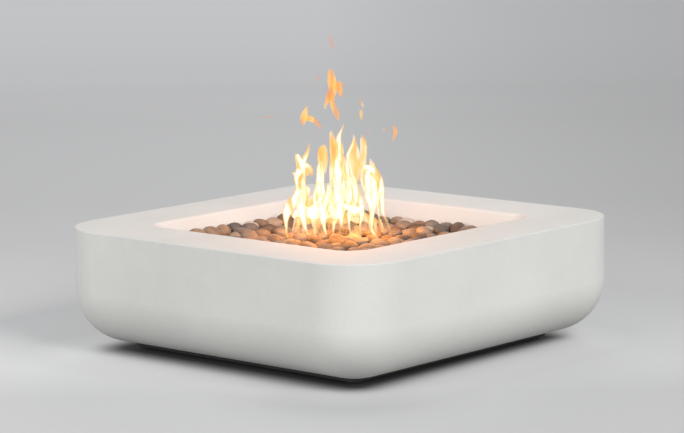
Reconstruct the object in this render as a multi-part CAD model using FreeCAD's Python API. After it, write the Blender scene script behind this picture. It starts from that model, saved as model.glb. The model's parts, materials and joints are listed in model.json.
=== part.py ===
import FreeCAD, Part
import math
import os
import random

from FreeCAD import Vector

# A square gas fire bowl of cast glass-fibre concrete, standing on a recessed
# steel base frame with levelling feet. Millimetres, +Z up. The origin is on
# the floor under the middle of the body, and the sides lie along X and Y.
# The controls are in a niche in the side that faces +Y.

Y_AXIS = Vector(0, 1, 0)
Z_AXIS = Vector(0, 0, 1)
DOWN = Vector(0, 0, -1)

# ------------------------------------------------------------ cast body
body_side = 1067.0          # 42 in, face to face
body_height = 302.0
floor_gap = 22.0            # shadow gap between the floor and the underside
corner_radius = 154.0       # upright corners, in plan
belly_radius = 140.0        # quarter round from the sides to the underside
shell_wall = 24.0
belly_facets = 3            # on the hidden inside of the belly
rim_edge_radius = 3.0
rim_width = 167.5           # flat rim, from the face to where the lip turns in
lip_radius = 11.0
opening_corner = 71.0       # where the flat rim ends
recess_lean = 28.0          # how far the recess walls come in on the way down
ledge_depth = 75.5          # from the rim down to the ledge for the pan
ledge_width = 36.0
access_side = 600.0         # square hole in the underside
access_corner = 60.0

# ------------------------------------------------------------ fits
seat_gap = 0.3              # curved faces of different moving bodies
bore_gap = 0.05             # radial, pins and studs that turn in their bores
cast_gap = 0.02             # radial, inserts in the concrete
hole_gap = 0.5              # radial, clearance holes for screws

# ------------------------------------------------------------ base frame and feet
frame_side = 770.0
frame_corner = 24.0
frame_inner_corner = 8.0
frame_width = 66.0          # across the folded channel
frame_height = 15.0
frame_sheet = 3.0
foot_inset = 33.0           # from the outside of the frame to a foot's middle
foot_pad_radius = 22.0
foot_pad_height = 4.5
foot_pad_lip = 1.5          # rubber up the side of the plate
foot_pad_chamfer = 1.2
foot_plate_radius = 20.0
foot_plate_height = 3.0
foot_plate_chamfer = 1.5
foot_hex = 17.0             # across flats
foot_hex_height = 4.0
foot_stud_radius = 5.0      # M10
foot_stud_length = 34.0     # above the hexagon
locknut_hex = 17.0
locknut_height = 5.0
bolt_radius = 4.0           # M8
bolt_length = 22.0          # under the head
bolt_head_radius = 7.0
bolt_head_height = 4.4
bolt_head_chamfer = 2.0
bolt_socket = 5.0           # across flats
bolt_socket_depth = 2.6
bolt_reach = 215.0          # frame bolts, each side of a side's middle
insert_wall = 3.0
insert_length = 30.0
boss_radius = 19.0
boss_height = 14.0

# ------------------------------------------------------------ burner pan
pan_sheet = 1.5
pan_depth = 28.0            # from the flange down to the pan's floor
pan_bend = 6.0              # inside bend between floor and wall
flange_gap = 3.0            # flange to the recess wall
basin_gap = 4.0             # basin wall to the edge of the ledge
basin_corner = 29.0
vent_radius = 4.0
vent_count = 8
vent_reach = 235.0          # vent holes, from the middle of the pan
pan_screw_radius = 2.5      # M5
pan_screw_length = 15.0
pan_screw_head_radius = 4.8
pan_screw_head_height = 3.2
pan_screw_head_chamfer = 1.6
pan_plug_radius = 4.5
pan_plug_length = 18.0
pan_plug_floor = 2.0
pan_screw_reach = 200.0     # along the ledge, each side of the middle

# ------------------------------------------------------------ burner
ring_radius = 150.0         # 12 in ring, to the middle of the tube
tube_radius = 9.5
port_radius = 1.6
port_depth = 4.0
port_count = 20
hub_radius = 16.0
hub_height = 21.0
hub_chamfer = 2.0
hub_socket = 10.5           # depth of the nipple's seat
nipple_radius = 10.6        # 1/2 in pipe
nipple_bore = 7.8
nipple_drop = 34.0          # below the pan's floor
nipple_locknut_hex = 30.0
nipple_locknut_height = 5.0
mixer_radius = 15.0
mixer_wall = 3.0
mixer_length = 74.0
mixer_socket = 15.0         # length screwed over the nipple
mixer_floor = 12.0          # thick end that holds the jet
mixer_slot_width = 9.0
mixer_slot_height = 22.0
mixer_slot_count = 4
jet_radius = 5.0
jet_length = 16.0
jet_bore = 1.0
jet_chamfer = 2.0
elbow_radius = 11.0
elbow_reach = 30.0          # from the pipe's middle to the hose nut
elbow_neck = 2.0            # straight under the mixer

# ------------------------------------------------------------ spark and flame sensor
sensor_distance = 188.0     # from the middle of the pan, outside the ring
sensor_angle = 131.0        # degrees from +X
bracket_sheet = 1.5
bracket_width = 36.0
bracket_height = 26.0
bracket_foot = 20.0
bracket_clear = 3.0         # grommet to the bracket's wall
bracket_shelf_edge = 4.0    # shelf beyond the rods
electrode_radius = 3.5
electrode_length = 34.0
electrode_knee = 4.0        # height of the bend in the tip
electrode_tip_radius = 1.0
electrode_tip_length = 13.0
probe_radius = 2.6
probe_length = 42.0
probe_sleeve = 29.4         # length of the thick part
probe_tip_radius = 1.8
probe_spacing = 18.0        # electrode to thermocouple
probe_lift = 8.0            # lower ends above the pan's floor
sensor_screw_radius = 2.0
sensor_screw_head = 3.6
sensor_screw_head_height = 2.0
sensor_screw_length = 3.5   # under the bracket's foot
sensor_screw_inset = 8.0    # from the end of the bracket's foot
sensor_screw_spacing = 20.0
grommet_radius = 6.5
grommet_neck = 4.5          # where it sits in the pan's hole
grommet_lip = 1.8

# ------------------------------------------------------------ pebbles
pebble_smallest = 17.5      # half width across flats
pebble_largest = 25.0
pebble_flatness = 0.56      # half thickness over half width
pebble_flat = 0.58          # width of the flat top over the full width
pebble_gap = 0.12           # left between neighbours
pebble_tries = 2200
pebble_seed = 11
roll_step = 8.0             # first step of a pebble that rolls to a hollow
roll_end = 0.5
bed_depth = 46.0            # from the rim down to the highest pebbles
sensor_clear = 25.0         # kept free of pebbles round the sensor

# ------------------------------------------------------------ control niche
panel_drop = 84.0           # middle of the niche below the rim
niche_half_width = 78.0
niche_half_height = 40.0
niche_corner = 14.0
niche_depth = 34.0
niche_sheet = 1.5
niche_flange = 13.0
niche_draft_gap = 1.0       # box to the hole in the concrete
box_screw_radius = 2.0
box_screw_length = 16.0
box_screw_head = 3.6
box_screw_sink = 1.4        # depth of the countersink
controls_spacing = 76.0     # knob to igniter

# ------------------------------------------------------------ safety valve and knob
valve_half_width = 30.0
valve_half_height = 21.0
valve_length = 56.0
valve_edge = 4.0
valve_cap_radius = 17.0
valve_cap_length = 8.0
valve_nose_radius = 7.5
valve_nose_length = 9.0
valve_nut_hex = 22.0
valve_nut_height = 3.0
stem_radius = 4.0
stem_flat = 2.6             # from the stem's axis to its flat
stem_reach = 13.0           # beyond the valve's nose
stem_depth = 20.0           # inside the valve
plunger_radius = 3.0
plunger_length = 16.0
port_spacing = 34.0         # inlet to outlet
port_boss_radius = 11.0
port_boss_length = 12.0
port_depth_in = 30.8        # from the valve's front to the ports
knob_radius = 21.0
knob_grip_radius = 16.0
knob_height = 22.0
knob_skirt = 6.0
knob_travel = 4.0           # pushed in to light the burner
knob_rest_gap = 0.6         # knob to niche floor when it is pushed in
knob_flutes = 12
knob_flute_radius = 4.0
knob_flute_depth = 1.5
knob_skirt_chamfer = 2.0
knob_face_chamfer = 1.0
knob_nut_gap = 0.6          # knob's well to the corners of the nut
pointer_width = 2.0
pointer_depth = 0.8
pointer_start = 3.0         # from the knob's axis
pointer_end = 15.0

# ------------------------------------------------------------ spark igniter
igniter_radius = 14.0
igniter_length = 74.0
igniter_nose_radius = 12.0
igniter_nose_length = 9.0
igniter_nut_hex = 30.0
igniter_nut_height = 4.0
button_radius = 8.0
button_out = 7.0            # button's face beyond the nose
button_depth = 9.0          # guided length inside the nose
button_travel = 4.0
igniter_chamfer = 3.0
button_chamfer = 1.6
guide_room = 1.0            # guide beyond the pushed button
battery_radius = 7.2
battery_length = 50.0
battery_gap = 0.8
battery_stud = 1.5
battery_stud_radius = 2.7
spring_length = 11.0        # button to battery, at rest
spring_wire = 1.2
spring_radius = 4.6
spring_turns = 4
spring_sides = 8            # straight lengths in a turn

# ------------------------------------------------------------ hoses and leads
hose_radius = 7.0
hose_nut_hex = 24.0
hose_nut_height = 14.0
hose_nut_gap = 0.2
burner_hose_bend = 78.0
supply_hose_bend = 44.0
hose_straight = 60.0        # straight out of the burner's elbow
supply_rise = 26.0          # height of the bend under the valve, above the cock
supply_run = 78.0           # straight out of the cock
lead_radius = 1.6
capillary_radius = 1.2
lead_bend = 30.0
lead_exit = 16.0
lead_drop = 18.0            # below the ledge
lead_fall = 5.0             # lower with each bend
lead_clear = 40.0           # first bend, behind the edge of the ledge's hole
lead_turn_in = 60.0         # second bend, behind the rods

# ------------------------------------------------------------ gas cock at the inlet
cock_x = -150.0
cock_y = 268.0
cock_lift = 66.0            # axis above the underside
cock_body_radius = 17.0
cock_half_length = 32.0
cock_hex = 29.0
cock_hex_length = 15.0
inlet_bore = 9.3            # tapped 1/2 in pipe thread
inlet_depth = 16.0
cock_neck_radius = 10.6
cock_neck_length = 14.0
lever_width = 16.0
lever_length = 82.0
lever_sheet = 3.0
lever_drop = 23.0           # lever's top below the cock's axis
lever_stem_radius = 5.0
lever_tail_radius = 3.5
lever_stem_wall = 3.5       # boss round the stem
lever_stem_top = 9.0        # end of the stem below the cock's axis
lever_end_round = 6.7
lever_lip_length = 30.0
lever_lip_height = 8.0
lever_lip_inset = 10.0
lever_lip_wall = 2.0
cock_locknut_hex = 30.0
cock_locknut_height = 5.0
lever_nut_hex = 13.0
lever_nut_height = 5.0
cock_sheet = 3.0
cock_bracket_width = 64.0
cock_bracket_foot = 40.0
cock_bracket_top = 22.0     # above the cock's axis
cock_bracket_round = 12.0
cock_bolt_spacing = 41.0
access_clear = 6.0          # bracket's foot behind the edge of the access hole
bracket_bolt_radius = 3.0
bracket_bolt_length = 18.0
bracket_bolt_head_radius = 5.5
bracket_bolt_head_height = 3.5

# ------------------------------------------------------------ levels and places
half_body = body_side / 2
underside = floor_gap
rim_top = floor_gap + body_height
ledge_top = rim_top - ledge_depth
ledge_bottom = ledge_top - shell_wall
inner_floor = underside + shell_wall
lean_angle = math.atan(recess_lean / ledge_depth)
lip_run = lip_radius * math.tan((math.pi / 2 - lean_angle) / 2)
mouth_half = half_body - rim_width - lip_run
mouth_corner = opening_corner - lip_run
ledge_half = mouth_half - recess_lean
ledge_corner = mouth_corner - recess_lean
hole_half = ledge_half - ledge_width
flange_half = ledge_half - flange_gap
basin_half = hole_half - basin_gap
flange_top = ledge_top + pan_sheet
pan_floor = flange_top - pan_depth
pan_under = pan_floor - pan_sheet
bed_top = rim_top - bed_depth
panel_height = rim_top - panel_drop
roll_reach = 4.4 * pebble_largest       # no pebble rolls farther than this
foot_reach = frame_side / 2 - foot_inset
frame_web_bottom = underside - frame_sheet
rear_face = half_body
knob_x = -controls_spacing / 2
igniter_x = controls_spacing / 2
hub_bottom = pan_floor + nipple_locknut_height + seat_gap
tube_level = hub_bottom + tube_radius
mixer_bottom = pan_under - nipple_drop + mixer_socket - mixer_length
cock_level = underside + cock_lift
lever_top = cock_level - lever_drop - seat_gap
cock_outlet_y = cock_y + cock_half_length + cock_neck_length
bracket_foot_y = access_side / 2 + access_clear
bracket_wall_out = grommet_radius + bracket_clear       # beyond the line of the two rods
elbow_level = mixer_bottom - elbow_radius - elbow_neck


# ------------------------------------------------------------ drawing helpers
def rounded_square(half, corner, level):
    """Closed outline of a square with round corners at one level."""
    flat = half - corner
    edges = []
    for quarter in range(4):
        turn = math.radians(90 * quarter)

        def place(x, y):
            return Vector(x * math.cos(turn) - y * math.sin(turn),
                          x * math.sin(turn) + y * math.cos(turn), level)

        diagonal = flat + corner * math.sqrt(0.5)
        edges.append(Part.LineSegment(place(half, -flat), place(half, flat)).toShape())
        edges.append(Part.Arc(place(half, flat), place(diagonal, diagonal),
                              place(flat, half)).toShape())
    return Part.Wire(edges)


def square_prism(half, corner, low, high):
    face = Part.Face(rounded_square(half, corner, low))
    return face.extrude(Vector(0, 0, high - low))


def panel_point(across, depth, up):
    """A place on the rear side: across along X, depth inwards, up from the niche's middle."""
    return Vector(across, rear_face - depth, panel_height + up)


def panel_prism(half_width, half_height, corner, depth_out, depth_in):
    """Rounded rectangle on the rear side, from one depth to a deeper one."""
    block = Part.makeBox(2 * half_width, depth_in - depth_out, 2 * half_height,
                         panel_point(-half_width, depth_in, -half_height))
    uprights = [e for e in block.Edges
                if abs(e.Vertexes[0].Y - e.Vertexes[1].Y) > 0.9 * (depth_in - depth_out)]
    return block.makeFillet(corner, uprights)


def rod(radius, start, end):
    way = end.sub(start)
    return Part.makeCylinder(radius, way.Length, start, way)


def pipe(radius, bore, start, end):
    return rod(radius, start, end).cut(rod(bore, start, end))


def hexagon_bar(across_flats, start, end):
    """Hexagonal bar between two points."""
    way = end.sub(start)
    corner = across_flats / math.sqrt(3)
    points = [Vector(corner * math.cos(math.radians(60 * k)),
                     corner * math.sin(math.radians(60 * k)), 0) for k in range(7)]
    bar = Part.Face(Part.makePolygon(points)).extrude(Vector(0, 0, way.Length))
    bar.Placement = FreeCAD.Placement(start, FreeCAD.Rotation(Z_AXIS, way))
    return bar


def nut(across_flats, bore, start, end):
    return hexagon_bar(across_flats, start, end).cut(rod(bore, start, end))


def bent_rod(radius, points, bend):
    """Round rod along straight runs joined by tangent arcs."""
    edges = []
    last = points[0]
    for before, corner, after in zip(points, points[1:], points[2:]):
        back = before.sub(corner)
        on = after.sub(corner)
        half_turn = (math.pi - back.getAngle(on)) / 2
        trim = min(bend * math.tan(half_turn), 0.48 * back.Length, 0.48 * on.Length)
        reach = trim / math.tan(half_turn)
        start = corner.add(Vector(back).normalize().multiply(trim))
        end = corner.add(Vector(on).normalize().multiply(trim))
        inward = Vector(back).normalize().add(Vector(on).normalize()).normalize()
        middle = corner.add(inward.multiply(reach / math.cos(half_turn) - reach))
        edges.append(Part.LineSegment(last, start).toShape())
        edges.append(Part.Arc(start, middle, end).toShape())
        last = end
    edges.append(Part.LineSegment(last, points[-1]).toShape())
    path = Part.Wire(edges)
    section = Part.Wire(Part.makeCircle(radius, points[0], points[1].sub(points[0])))
    return path.makePipeShell([section], True, False)


def save(name, *solids):
    shape = solids[0] if len(solids) == 1 else Part.makeCompound(list(solids))
    shape.exportStep("parts/" + name + ".step")


# ------------------------------------------------------------ cast body
def block_with_belly(half, corner, belly, low, high):
    """Upright block with round corners and a quarter-round lower edge."""
    block = square_prism(half, corner, low, high)
    lower = [e for e in block.Edges if e.BoundBox.ZMax < low + 0.01]
    return block.makeFillet(belly, lower)


def hollow_core():
    """Core that leaves an even wall; its belly is faceted, as the mould's core is."""
    inner_half = half_body - shell_wall
    inner_corner = corner_radius - shell_wall
    inner_belly = belly_radius - shell_wall
    rings = []
    for step in range(belly_facets + 1):
        turn = math.radians(90 * step / belly_facets)
        come_in = inner_belly * (1 - math.sin(turn))
        level = inner_floor + inner_belly * (1 - math.cos(turn))
        rings.append(rounded_square(inner_half - come_in, inner_corner - come_in, level))
    rings.append(rounded_square(inner_half, inner_corner, rim_top - shell_wall))
    return Part.makeLoft(rings, True, True)


def rim_edges(body, nearest, farthest):
    """Edges in the rim's plane whose middles lie between two distances from the axis."""
    at_rim = [e for e in body.Edges if e.BoundBox.ZMin > rim_top - 0.01]
    return [e for e in at_rim
            if nearest < max(abs(e.CenterOfMass.x), abs(e.CenterOfMass.y)) < farthest]


def frame_bolt_places():
    reach = foot_reach
    places = []
    for along in (-bolt_reach, bolt_reach):
        for across in (-reach, reach):
            places.append(Vector(along, across, 0))
            places.append(Vector(across, along, 0))
    return places


def foot_places():
    return {"front_left": Vector(-foot_reach, -foot_reach, 0),
            "front_right": Vector(foot_reach, -foot_reach, 0),
            "rear_left": Vector(-foot_reach, foot_reach, 0),
            "rear_right": Vector(foot_reach, foot_reach, 0)}


def pan_screw_places():
    reach = hole_half + ledge_width / 2
    places = []
    for along in (-pan_screw_reach, pan_screw_reach):
        for across in (-reach, reach):
            places.append(Vector(along, across, 0))
            places.append(Vector(across, along, 0))
    return places


def box_screw_places():
    across = niche_half_width + niche_flange / 2
    up = niche_half_height + niche_flange / 2
    return [(sx * across, sz * up) for sx in (-1, 1) for sz in (-1, 1)]


def cock_bolt_places():
    y = bracket_foot_y + cock_bracket_foot / 2
    return [Vector(cock_x + side * cock_bolt_spacing / 2, y, 0) for side in (-1, 1)]


def bowl_shell():
    outer = block_with_belly(half_body, corner_radius, belly_radius, underside, rim_top)
    recess = Part.makeLoft([rounded_square(ledge_half, ledge_corner, ledge_top),
                            rounded_square(mouth_half, mouth_corner, rim_top)], True, True)
    body = outer.cut(recess)

    lip = rim_edges(body, 0, mouth_half + lip_run)
    body = body.makeFillet(lip_radius, lip)
    rim_edge = rim_edges(body, half_body - corner_radius, half_body + 1)
    body = body.makeFillet(rim_edge_radius, rim_edge)

    hollow = hollow_core()
    recess_walls = Part.makeLoft(
        [rounded_square(ledge_half + shell_wall, ledge_corner + shell_wall, ledge_top),
         rounded_square(mouth_half + shell_wall, mouth_corner + shell_wall, rim_top)],
        True, True)
    ledge_block = square_prism(ledge_half + shell_wall, ledge_corner + shell_wall,
                               ledge_bottom, ledge_top)
    hollow = hollow.cut(recess_walls).cut(ledge_block)
    for place in list(foot_places().values()) + frame_bolt_places():
        boss = rod(boss_radius, Vector(place.x, place.y, underside),
                   Vector(place.x, place.y, inner_floor + boss_height))
        hollow = hollow.cut(boss)
    body = body.cut(hollow)

    body = body.cut(square_prism(hole_half, basin_corner + basin_gap, ledge_bottom - 1,
                                 ledge_top + 1))
    body = body.cut(square_prism(access_side / 2, access_corner, underside - 1,
                                 inner_floor + 1))
    body = body.cut(panel_prism(niche_half_width + niche_draft_gap,
                                niche_half_height + niche_draft_gap,
                                niche_corner + niche_draft_gap, -1, shell_wall + 1))
    rebate_half_width = niche_half_width + niche_flange + niche_draft_gap
    rebate_half_height = niche_half_height + niche_flange + niche_draft_gap
    body = body.cut(panel_prism(rebate_half_width, rebate_half_height, niche_corner,
                                -1, niche_sheet))
    holes = []
    for place in foot_places().values():
        holes.append(rod(foot_stud_radius + insert_wall + cast_gap,
                         Vector(place.x, place.y, underside - 1),
                         Vector(place.x, place.y, underside + insert_length)))
    for place in frame_bolt_places():
        holes.append(rod(bolt_radius + insert_wall + cast_gap,
                         Vector(place.x, place.y, underside - 1),
                         Vector(place.x, place.y, underside + insert_length)))
    for place in pan_screw_places():
        holes.append(rod(pan_plug_radius + cast_gap,
                         Vector(place.x, place.y, ledge_top - pan_plug_length),
                         Vector(place.x, place.y, ledge_top + 1)))
    for across, up in box_screw_places():
        holes.append(rod(box_screw_radius + cast_gap, panel_point(across, 0, up),
                         panel_point(across, box_screw_length, up)))
    for place in cock_bolt_places():
        holes.append(rod(bracket_bolt_radius + cast_gap,
                         Vector(place.x, place.y, inner_floor - bracket_bolt_length),
                         Vector(place.x, place.y, inner_floor + 1)))
    return body.cut(Part.makeCompound(holes))


def cast_insert(place, bore_radius):
    low = Vector(place.x, place.y, underside)
    high = Vector(place.x, place.y, underside + insert_length)
    return pipe(bore_radius + insert_wall, bore_radius + bore_gap, low, high)


# ------------------------------------------------------------ base frame and feet
def base_frame():
    """Channel folded from sheet and mitred into a square, open side down."""
    frame_low = underside - frame_height
    outer = square_prism(frame_side / 2, frame_corner, frame_low, underside)
    inner_half = frame_side / 2 - frame_width
    frame = outer.cut(square_prism(inner_half, frame_inner_corner, frame_low - 1,
                                   underside + 1))
    groove = square_prism(frame_side / 2 - frame_sheet, frame_corner - frame_sheet,
                          frame_low - 1, frame_web_bottom)
    groove = groove.cut(square_prism(inner_half + frame_sheet,
                                     frame_inner_corner + frame_sheet,
                                     frame_low - 2, frame_web_bottom + 1))
    frame = frame.cut(groove)
    holes = []
    for place in foot_places().values():
        holes.append(rod(foot_stud_radius + hole_gap, Vector(place.x, place.y, 0),
                         Vector(place.x, place.y, underside + 1)))
    for place in frame_bolt_places():
        holes.append(rod(bolt_radius + hole_gap, Vector(place.x, place.y, 0),
                         Vector(place.x, place.y, underside + 1)))
    return frame.cut(Part.makeCompound(holes))


def frame_bolt(place):
    """Button-head screw with a hexagon socket, head under the frame's web."""
    seat = Vector(place.x, place.y, frame_web_bottom)
    low = Vector(place.x, place.y, frame_web_bottom - bolt_head_height)
    head = rod(bolt_head_radius, low, seat)
    lower_edge = [e for e in head.Edges if e.BoundBox.ZMax < low.z + 0.01]
    head = head.makeChamfer(bolt_head_chamfer, lower_edge)
    shank = rod(bolt_radius, seat, Vector(place.x, place.y, frame_web_bottom + bolt_length))
    socket = hexagon_bar(bolt_socket, low, low.add(Vector(0, 0, bolt_socket_depth)))
    return head.fuse(shank).cut(socket)


def levelling_foot(place):
    """Steel plate, wrench hexagon and stud in one turned piece."""
    plate_low = Vector(place.x, place.y, foot_pad_height)
    plate_high = plate_low.add(Vector(0, 0, foot_plate_height))
    hex_high = plate_high.add(Vector(0, 0, foot_hex_height))
    plate = rod(foot_plate_radius, plate_low, plate_high)
    upper_edge = [e for e in plate.Edges if e.BoundBox.ZMin > plate_high.z - 0.01]
    plate = plate.makeChamfer(foot_plate_chamfer, upper_edge)
    hexagon = hexagon_bar(foot_hex, plate_high, hex_high)
    stud = rod(foot_stud_radius, hex_high, hex_high.add(Vector(0, 0, foot_stud_length)))
    return plate.fuse([hexagon, stud])


def foot_pad(place):
    """Rubber disc moulded round the foot's plate."""
    floor = Vector(place.x, place.y, 0)
    top = floor.add(Vector(0, 0, foot_pad_height + foot_pad_lip))
    pad = rod(foot_pad_radius, floor, top)
    pad = pad.makeChamfer(foot_pad_chamfer, [e for e in pad.Edges if e.BoundBox.ZMax < 0.01])
    return pad.cut(rod(foot_plate_radius + bore_gap, floor.add(Vector(0, 0, foot_pad_height)),
                       top.add(Z_AXIS)))


def foot_locknut(place):
    high = Vector(place.x, place.y, frame_web_bottom)
    low = high.add(Vector(0, 0, -locknut_height))
    return nut(locknut_hex, foot_stud_radius + bore_gap, low, high)


# ------------------------------------------------------------ burner pan
def burner_pan():
    """Pressed pan: flange on the ledge, shallow basin with bent edges."""
    basin = square_prism(basin_half, basin_corner, pan_under, flange_top)
    basin = basin.makeFillet(pan_bend + pan_sheet,
                             [e for e in basin.Edges if e.BoundBox.ZMax < pan_under + 0.01])
    inside = square_prism(basin_half - pan_sheet, basin_corner - pan_sheet, pan_floor,
                          flange_top)
    inside = inside.makeFillet(pan_bend,
                               [e for e in inside.Edges
                                if e.BoundBox.ZMax < pan_floor + 0.01])
    flange = square_prism(flange_half, ledge_corner - flange_gap, ledge_top, flange_top)
    pan = flange.fuse(basin).cut(inside)
    holes = [rod(nipple_radius + hole_gap, Vector(0, 0, pan_under - 1),
                 Vector(0, 0, pan_floor + 1))]
    for spot in (electrode_spot(), probe_spot()):
        holes.append(rod(grommet_neck, spot.add(Vector(0, 0, -pan_sheet - 1)),
                         spot.add(Z_AXIS)))
    for k in range(vent_count):
        turn = math.radians(360 * (k + 0.5) / vent_count)
        x = vent_reach * math.cos(turn)
        y = vent_reach * math.sin(turn)
        holes.append(rod(vent_radius, Vector(x, y, pan_under - 1),
                         Vector(x, y, pan_floor + 1)))
    for place in pan_screw_places():
        holes.append(rod(pan_screw_radius + hole_gap, Vector(place.x, place.y, ledge_top - 1),
                         Vector(place.x, place.y, flange_top + 1)))
    for place in sensor_screw_places():
        holes.append(rod(sensor_screw_radius + bore_gap, place.add(Vector(0, 0, -4)),
                         place.add(Z_AXIS)))
    return pan.cut(Part.makeCompound(holes))


def pan_plug(place):
    """Threaded plug set into the ledge."""
    low = Vector(place.x, place.y, ledge_top - pan_plug_length)
    high = Vector(place.x, place.y, ledge_top)
    plug = rod(pan_plug_radius, low, high)
    return plug.cut(rod(pan_screw_radius + bore_gap, low.add(Vector(0, 0, pan_plug_floor)),
                        high))


def pan_screw(place):
    seat = Vector(place.x, place.y, flange_top)
    top = seat.add(Vector(0, 0, pan_screw_head_height))
    head = rod(pan_screw_head_radius, seat, top)
    head = head.makeChamfer(pan_screw_head_chamfer,
                            [e for e in head.Edges if e.BoundBox.ZMin > top.z - 0.01])
    return head.fuse(rod(pan_screw_radius, seat.add(Vector(0, 0, -pan_screw_length)), seat))


# ------------------------------------------------------------ burner
def burner_ring():
    """Ring and cross tube welded to a hub, with flame ports along the top."""
    ring = Part.makeTorus(ring_radius, tube_radius, Vector(0, 0, tube_level), Z_AXIS)
    cross = rod(tube_radius, Vector(-ring_radius, 0, tube_level),
                Vector(ring_radius, 0, tube_level))
    hub = rod(hub_radius, Vector(0, 0, hub_bottom), Vector(0, 0, hub_bottom + hub_height))
    hub = hub.makeChamfer(hub_chamfer, [e for e in hub.Edges
                                        if e.BoundBox.ZMin > hub_bottom + hub_height - 0.01])
    burner = ring.fuse([cross, hub])
    burner = burner.cut(rod(nipple_radius + bore_gap, Vector(0, 0, hub_bottom - 1),
                            Vector(0, 0, hub_bottom + hub_socket)))
    ports = []
    for k in range(port_count):
        turn = math.radians(360 * (k + 0.5) / port_count)
        x = ring_radius * math.cos(turn)
        y = ring_radius * math.sin(turn)
        ports.append(rod(port_radius, Vector(x, y, tube_level + tube_radius - port_depth),
                         Vector(x, y, tube_level + tube_radius + 1)))
    return burner.cut(Part.makeCompound(ports))


def burner_nipple():
    return pipe(nipple_radius, nipple_bore, Vector(0, 0, pan_under - nipple_drop),
                Vector(0, 0, hub_bottom + hub_socket))


def nipple_locknuts():
    upper = nut(nipple_locknut_hex, nipple_radius + bore_gap, Vector(0, 0, pan_floor),
                Vector(0, 0, pan_floor + nipple_locknut_height))
    lower = nut(nipple_locknut_hex, nipple_radius + bore_gap,
                Vector(0, 0, pan_under - nipple_locknut_height), Vector(0, 0, pan_under))
    return [upper, lower]


def air_mixer():
    """Tube with four air slots, screwed on the nipple and open to the jet below."""
    nipple_end = pan_under - nipple_drop
    high = nipple_end + mixer_socket
    body = rod(mixer_radius, Vector(0, 0, mixer_bottom), Vector(0, 0, high))
    body = body.cut(rod(nipple_radius + bore_gap, Vector(0, 0, nipple_end),
                        Vector(0, 0, high + 1)))
    body = body.cut(rod(mixer_radius - mixer_wall, Vector(0, 0, mixer_bottom + mixer_floor),
                        Vector(0, 0, nipple_end)))
    body = body.cut(rod(jet_radius + bore_gap, Vector(0, 0, mixer_bottom - 1),
                        Vector(0, 0, mixer_bottom + mixer_floor + 1)))
    slot_low = mixer_bottom + mixer_floor + mixer_wall
    for k in range(mixer_slot_count // 2):
        slot = Part.makeBox(4 * mixer_radius, mixer_slot_width, mixer_slot_height,
                            Vector(-2 * mixer_radius, -mixer_slot_width / 2, slot_low))
        slot.rotate(Vector(0, 0, 0), Z_AXIS, 180 / (mixer_slot_count // 2) * k)
        body = body.cut(slot)
    return body


def gas_jet():
    """Brass orifice between the elbow and the mixer."""
    low = Vector(0, 0, mixer_bottom)
    high = Vector(0, 0, mixer_bottom + jet_length)
    jet = rod(jet_radius, low, high)
    jet = jet.makeChamfer(jet_chamfer, [e for e in jet.Edges
                                        if e.BoundBox.ZMin > high.z - 0.01])
    return jet.cut(rod(jet_bore, low, high))


def burner_elbow():
    """Brass elbow that turns the hose up into the mixer."""
    heel = Vector(0, 0, elbow_level)
    upright = rod(elbow_radius, heel, Vector(0, 0, mixer_bottom))
    reach = rod(elbow_radius, heel, heel.add(Vector(0, elbow_reach, 0)))
    return upright.fuse([reach, Part.makeSphere(elbow_radius, heel)])


# ------------------------------------------------------------ spark and flame sensor
def sensor_frame(across, out, up):
    """A place by the sensor: across along the ring, out from it, up from the pan's floor."""
    turn = math.radians(sensor_angle)
    distance = sensor_distance + out
    return Vector(distance * math.cos(turn) - across * math.sin(turn),
                  distance * math.sin(turn) + across * math.cos(turn), pan_floor + up)


def electrode_spot():
    return sensor_frame(-probe_spacing / 2, 0, 0)


def probe_spot():
    return sensor_frame(probe_spacing / 2, 0, 0)


def sensor_screw_places():
    out = bracket_wall_out + bracket_foot - sensor_screw_inset
    return [sensor_frame(side * sensor_screw_spacing / 2, out, 0) for side in (-1, 1)]


def sensor_bracket():
    """Angle bent from strip: its foot is screwed to the pan, its shelf holds the two rods."""
    wall_at = sensor_distance + bracket_wall_out
    foot = Part.makeBox(bracket_foot, bracket_width, bracket_sheet,
                        Vector(wall_at, -bracket_width / 2, pan_floor))
    wall = Part.makeBox(bracket_sheet, bracket_width, bracket_height,
                        Vector(wall_at, -bracket_width / 2, pan_floor))
    shelf_from = sensor_distance - electrode_radius - bracket_shelf_edge
    shelf = Part.makeBox(wall_at - shelf_from, bracket_width, bracket_sheet,
                         Vector(shelf_from, -bracket_width / 2,
                                pan_floor + bracket_height - bracket_sheet))
    bracket = foot.fuse([wall, shelf])
    bracket.rotate(Vector(0, 0, 0), Z_AXIS, sensor_angle)
    shelf_top = Vector(0, 0, bracket_height + 1)
    holes = []
    for spot, radius in ((electrode_spot(), electrode_radius), (probe_spot(), probe_radius)):
        holes.append(rod(radius + bore_gap, spot.add(Vector(0, 0, bracket_height / 2)),
                         spot.add(shelf_top)))
    for place in sensor_screw_places():
        holes.append(rod(sensor_screw_radius + bore_gap, place.add(DOWN),
                         place.add(Vector(0, 0, bracket_sheet + 1))))
    return bracket.cut(Part.makeCompound(holes))


def sensor_screw(place):
    seat = place.add(Vector(0, 0, bracket_sheet))
    head = rod(sensor_screw_head, seat, seat.add(Vector(0, 0, sensor_screw_head_height)))
    end = place.add(Vector(0, 0, -sensor_screw_length))
    return head.fuse(rod(sensor_screw_radius, end, seat))


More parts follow.
